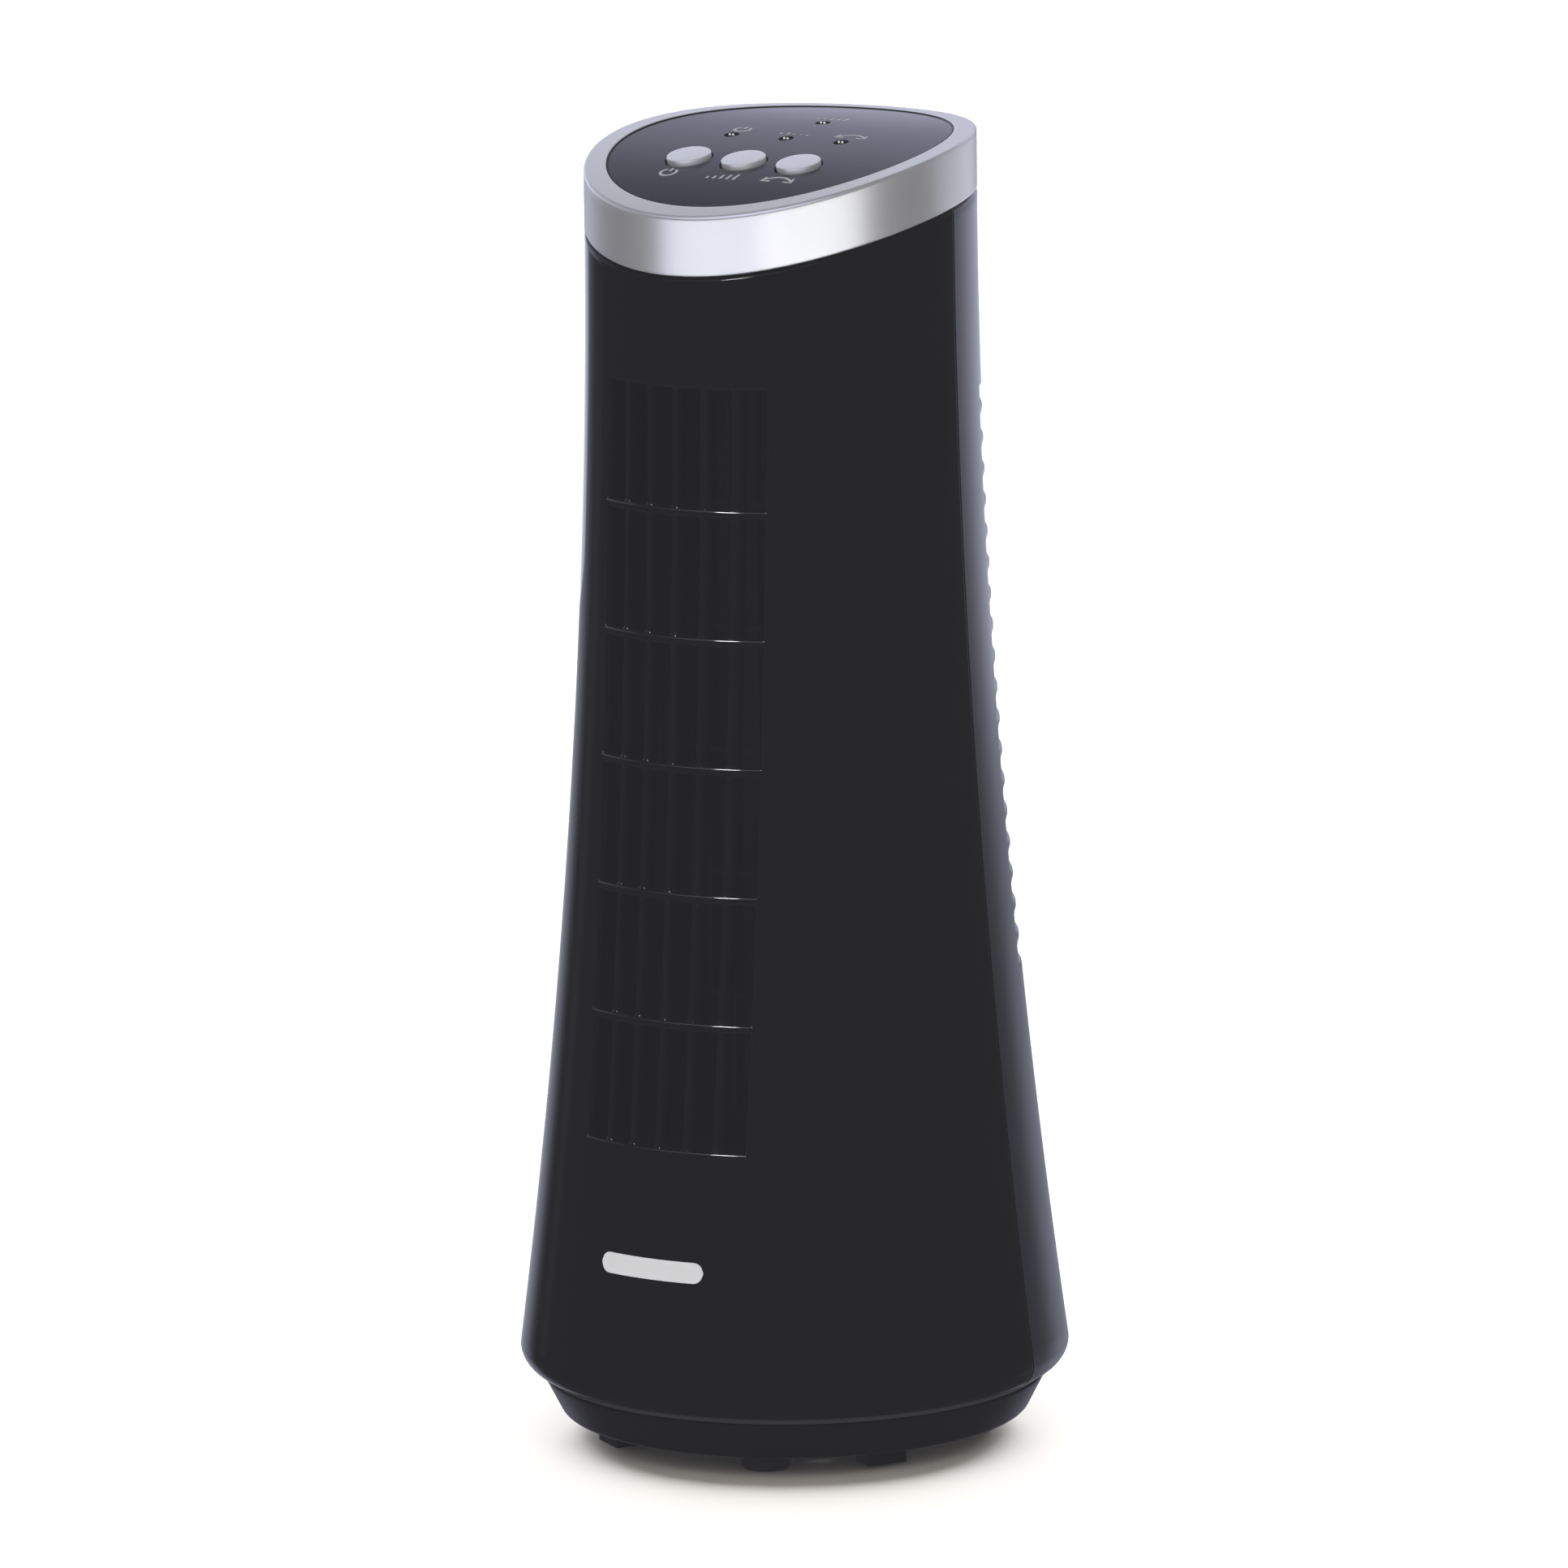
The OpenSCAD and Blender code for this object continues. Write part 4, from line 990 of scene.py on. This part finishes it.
def sky():
    """A white room for plain light, and for what gloss mirrors a dark one with soft bright panels."""
    world = bpy.data.worlds.new("studio")
    bpy.context.scene.world = world
    world.use_nodes = True
    nodes, links = world.node_tree.nodes, world.node_tree.links
    nodes.clear()
    output = nodes.new("ShaderNodeOutputWorld")
    mix = nodes.new("ShaderNodeMixShader")
    path = nodes.new("ShaderNodeLightPath")
    plain = nodes.new("ShaderNodeBackground")
    plain.inputs["Color"].default_value = (1, 0.995, 0.99, 1)
    plain.inputs["Strength"].default_value = WHITE_ROOM
    mirrored = nodes.new("ShaderNodeBackground")
    mirrored.inputs["Color"].default_value = (0.77, 0.79, 1.0, 1)
    coords = nodes.new("ShaderNodeTexCoord")
    flat = nodes.new("ShaderNodeVectorMath")
    flat.operation = "MULTIPLY"
    flat.inputs[1].default_value = (1, 1, 0)
    links.new(coords.outputs["Generated"], flat.inputs[0])
    across = nodes.new("ShaderNodeVectorMath")
    across.operation = "NORMALIZE"
    links.new(flat.outputs["Vector"], across.inputs[0])
    split = nodes.new("ShaderNodeSeparateXYZ")
    links.new(coords.outputs["Generated"], split.inputs["Vector"])
    total = None
    for panel in PANELS:
        value = lobe(nodes, links, across.outputs["Vector"], split.outputs["Z"], *panel)
        add = nodes.new("ShaderNodeMath")
        add.inputs[1].default_value = ROOM_LEVEL
        links.new(value, add.inputs[0])
        if total is not None:
            links.new(total, add.inputs[1])
        total = add.outputs["Value"]
    links.new(total, mirrored.inputs["Strength"])
    links.new(path.outputs["Is Glossy Ray"], mix.inputs["Fac"])
    links.new(plain.outputs["Background"], mix.inputs[1])
    links.new(mirrored.outputs["Background"], mix.inputs[2])
    links.new(mix.outputs["Shader"], output.inputs["Surface"])


def link_light(lamp, name, receivers, blockers=()):
    """Lets a lamp light only its receivers, and only its blockers cast a shadow in it."""
    lit = bpy.data.collections.new(name + "_lit")
    for piece in receivers:
        lit.objects.link(piece)
    lamp.light_linking.receiver_collection = lit
    if blockers:
        casters = bpy.data.collections.new(name + "_casters")
        for piece in blockers:
            casters.objects.link(piece)
        lamp.light_linking.blocker_collection = casters


def softbox(name, azimuth, elevation, distance, size, power, glossy_only=(), aim_z=0.2,
            color=(1, 1, 1)):
    """A rectangular studio light that faces the fan at height aim_z.

    Where glossy_only names pieces, it shows only in their gloss, and otherwise only in plain light."""
    light = bpy.data.lights.new(name, "AREA")
    light.shape = "RECTANGLE"
    light.size, light.size_y = size
    light.energy = power
    light.color = color
    lamp = bpy.data.objects.new(name, light)
    rise = math.radians(elevation)
    back = place(math.radians(azimuth), math.cos(rise), math.sin(rise))
    lamp.location = Vector((0, 0, aim_z)) + back * distance
    lamp.rotation_mode = "QUATERNION"
    lamp.rotation_quaternion = (-back).to_track_quat("-Z", "Y")
    lamp.visible_camera = False
    bpy.context.scene.collection.objects.link(lamp)
    if glossy_only:
        lamp.visible_diffuse = False
        link_light(lamp, name, [bpy.data.objects[piece] for piece in glossy_only])
    else:
        lamp.visible_glossy = False


def floor_light(ground):
    """A wide soft light for the floor alone, in which only the base plate and feet cast a shadow."""
    azimuth, elevation = 213.3, 15
    light = bpy.data.lights.new("floor_light", "SUN")
    light.energy = 21
    light.angle = math.radians(50)
    light.color = (0.93, 1.0, 1.10)
    lamp = bpy.data.objects.new("floor_light", light)
    lamp.rotation_euler = (math.radians(90 - elevation), 0, math.radians(azimuth))
    lamp.visible_glossy = False
    bpy.context.scene.collection.objects.link(lamp)
    casters = [frame["nodes"]["base_plate"], frame["nodes"]["rubber_feet"]]
    link_light(lamp, "floor_light", [ground], casters)


def lights(ground):
    """A key light, then boxes that show only in the gloss of the silver parts, the shells or the grille."""
    silver = ("collar_ring", "power_button_cap", "speed_button_cap", "swing_button_cap")
    shells = ("front_cover_skin", "rear_shell_skin")
    cool, blue = (0.93, 0.95, 1.06), (0.86, 0.9, 1.12)
    collar_z = 0.31
    softbox("key", 45, 35, 1.8, (1, 1), 4)
    softbox("collar_left", -5, -8, 0.8, (1.04, 0.24), 1.34, silver, collar_z, cool)
    softbox("collar_right", 53, -8, 0.8, (0.85, 0.24), 1.30, silver, collar_z)
    softbox("collar_back", 160, -8, 0.8, (0.75, 0.24), 0.2, silver, collar_z, cool)
    softbox("collar_top", 213, 42, 1.2, (1.2, 0.8), 0.9, silver, collar_z, cool)
    softbox("shell_back", 196, 9.5, 0.8, (1.54, 0.55), 2.0, shells, 0.2, blue)
    softbox("glint", -6, 44, 1.2, (0.22, 0.22), 12, ("front_cover_skin", "grille_ribs"), 0.25)
    floor_light(ground)


def camera():
    """A long lens that looks from beyond the fan's +X front quarter and a little above it."""
    azimuth, elevation, roll = math.radians(33.32), math.radians(10.534), math.radians(-0.717)
    distance, aim_right, aim_z = 2.82665, -0.975 * MM, 166.36 * MM
    back = place(azimuth, math.cos(elevation), math.sin(elevation))
    right = Vector((math.cos(azimuth), math.sin(azimuth), 0))
    up = back.cross(right)
    right_rolled = right * math.cos(roll) + up * math.sin(roll)
    up_rolled = up * math.cos(roll) - right * math.sin(roll)
    data = bpy.data.cameras.new("camera")
    data.sensor_width = 36
    data.lens = 256.93
    data.clip_start, data.clip_end = 0.1, 50
    cam = bpy.data.objects.new("camera", data)
    turn = Matrix((right_rolled, up_rolled, back)).transposed().to_4x4()
    spot = Vector((0, 0, aim_z)) + right * aim_right + back * distance
    cam.matrix_world = Matrix.Translation(spot) @ turn
    bpy.context.scene.collection.objects.link(cam)
    bpy.context.scene.camera = cam


def black_point():
    """Lifts black to a dark grey, the way a studio picture on white shows it."""
    settings = bpy.context.scene.view_settings
    settings.view_transform = "Standard"
    settings.use_curve_mapping = True
    settings.curve_mapping.black_level = (-0.0178, -0.0178, -0.0196)
    settings.curve_mapping.update()


camera()
sky()
lights(floor())
black_point()
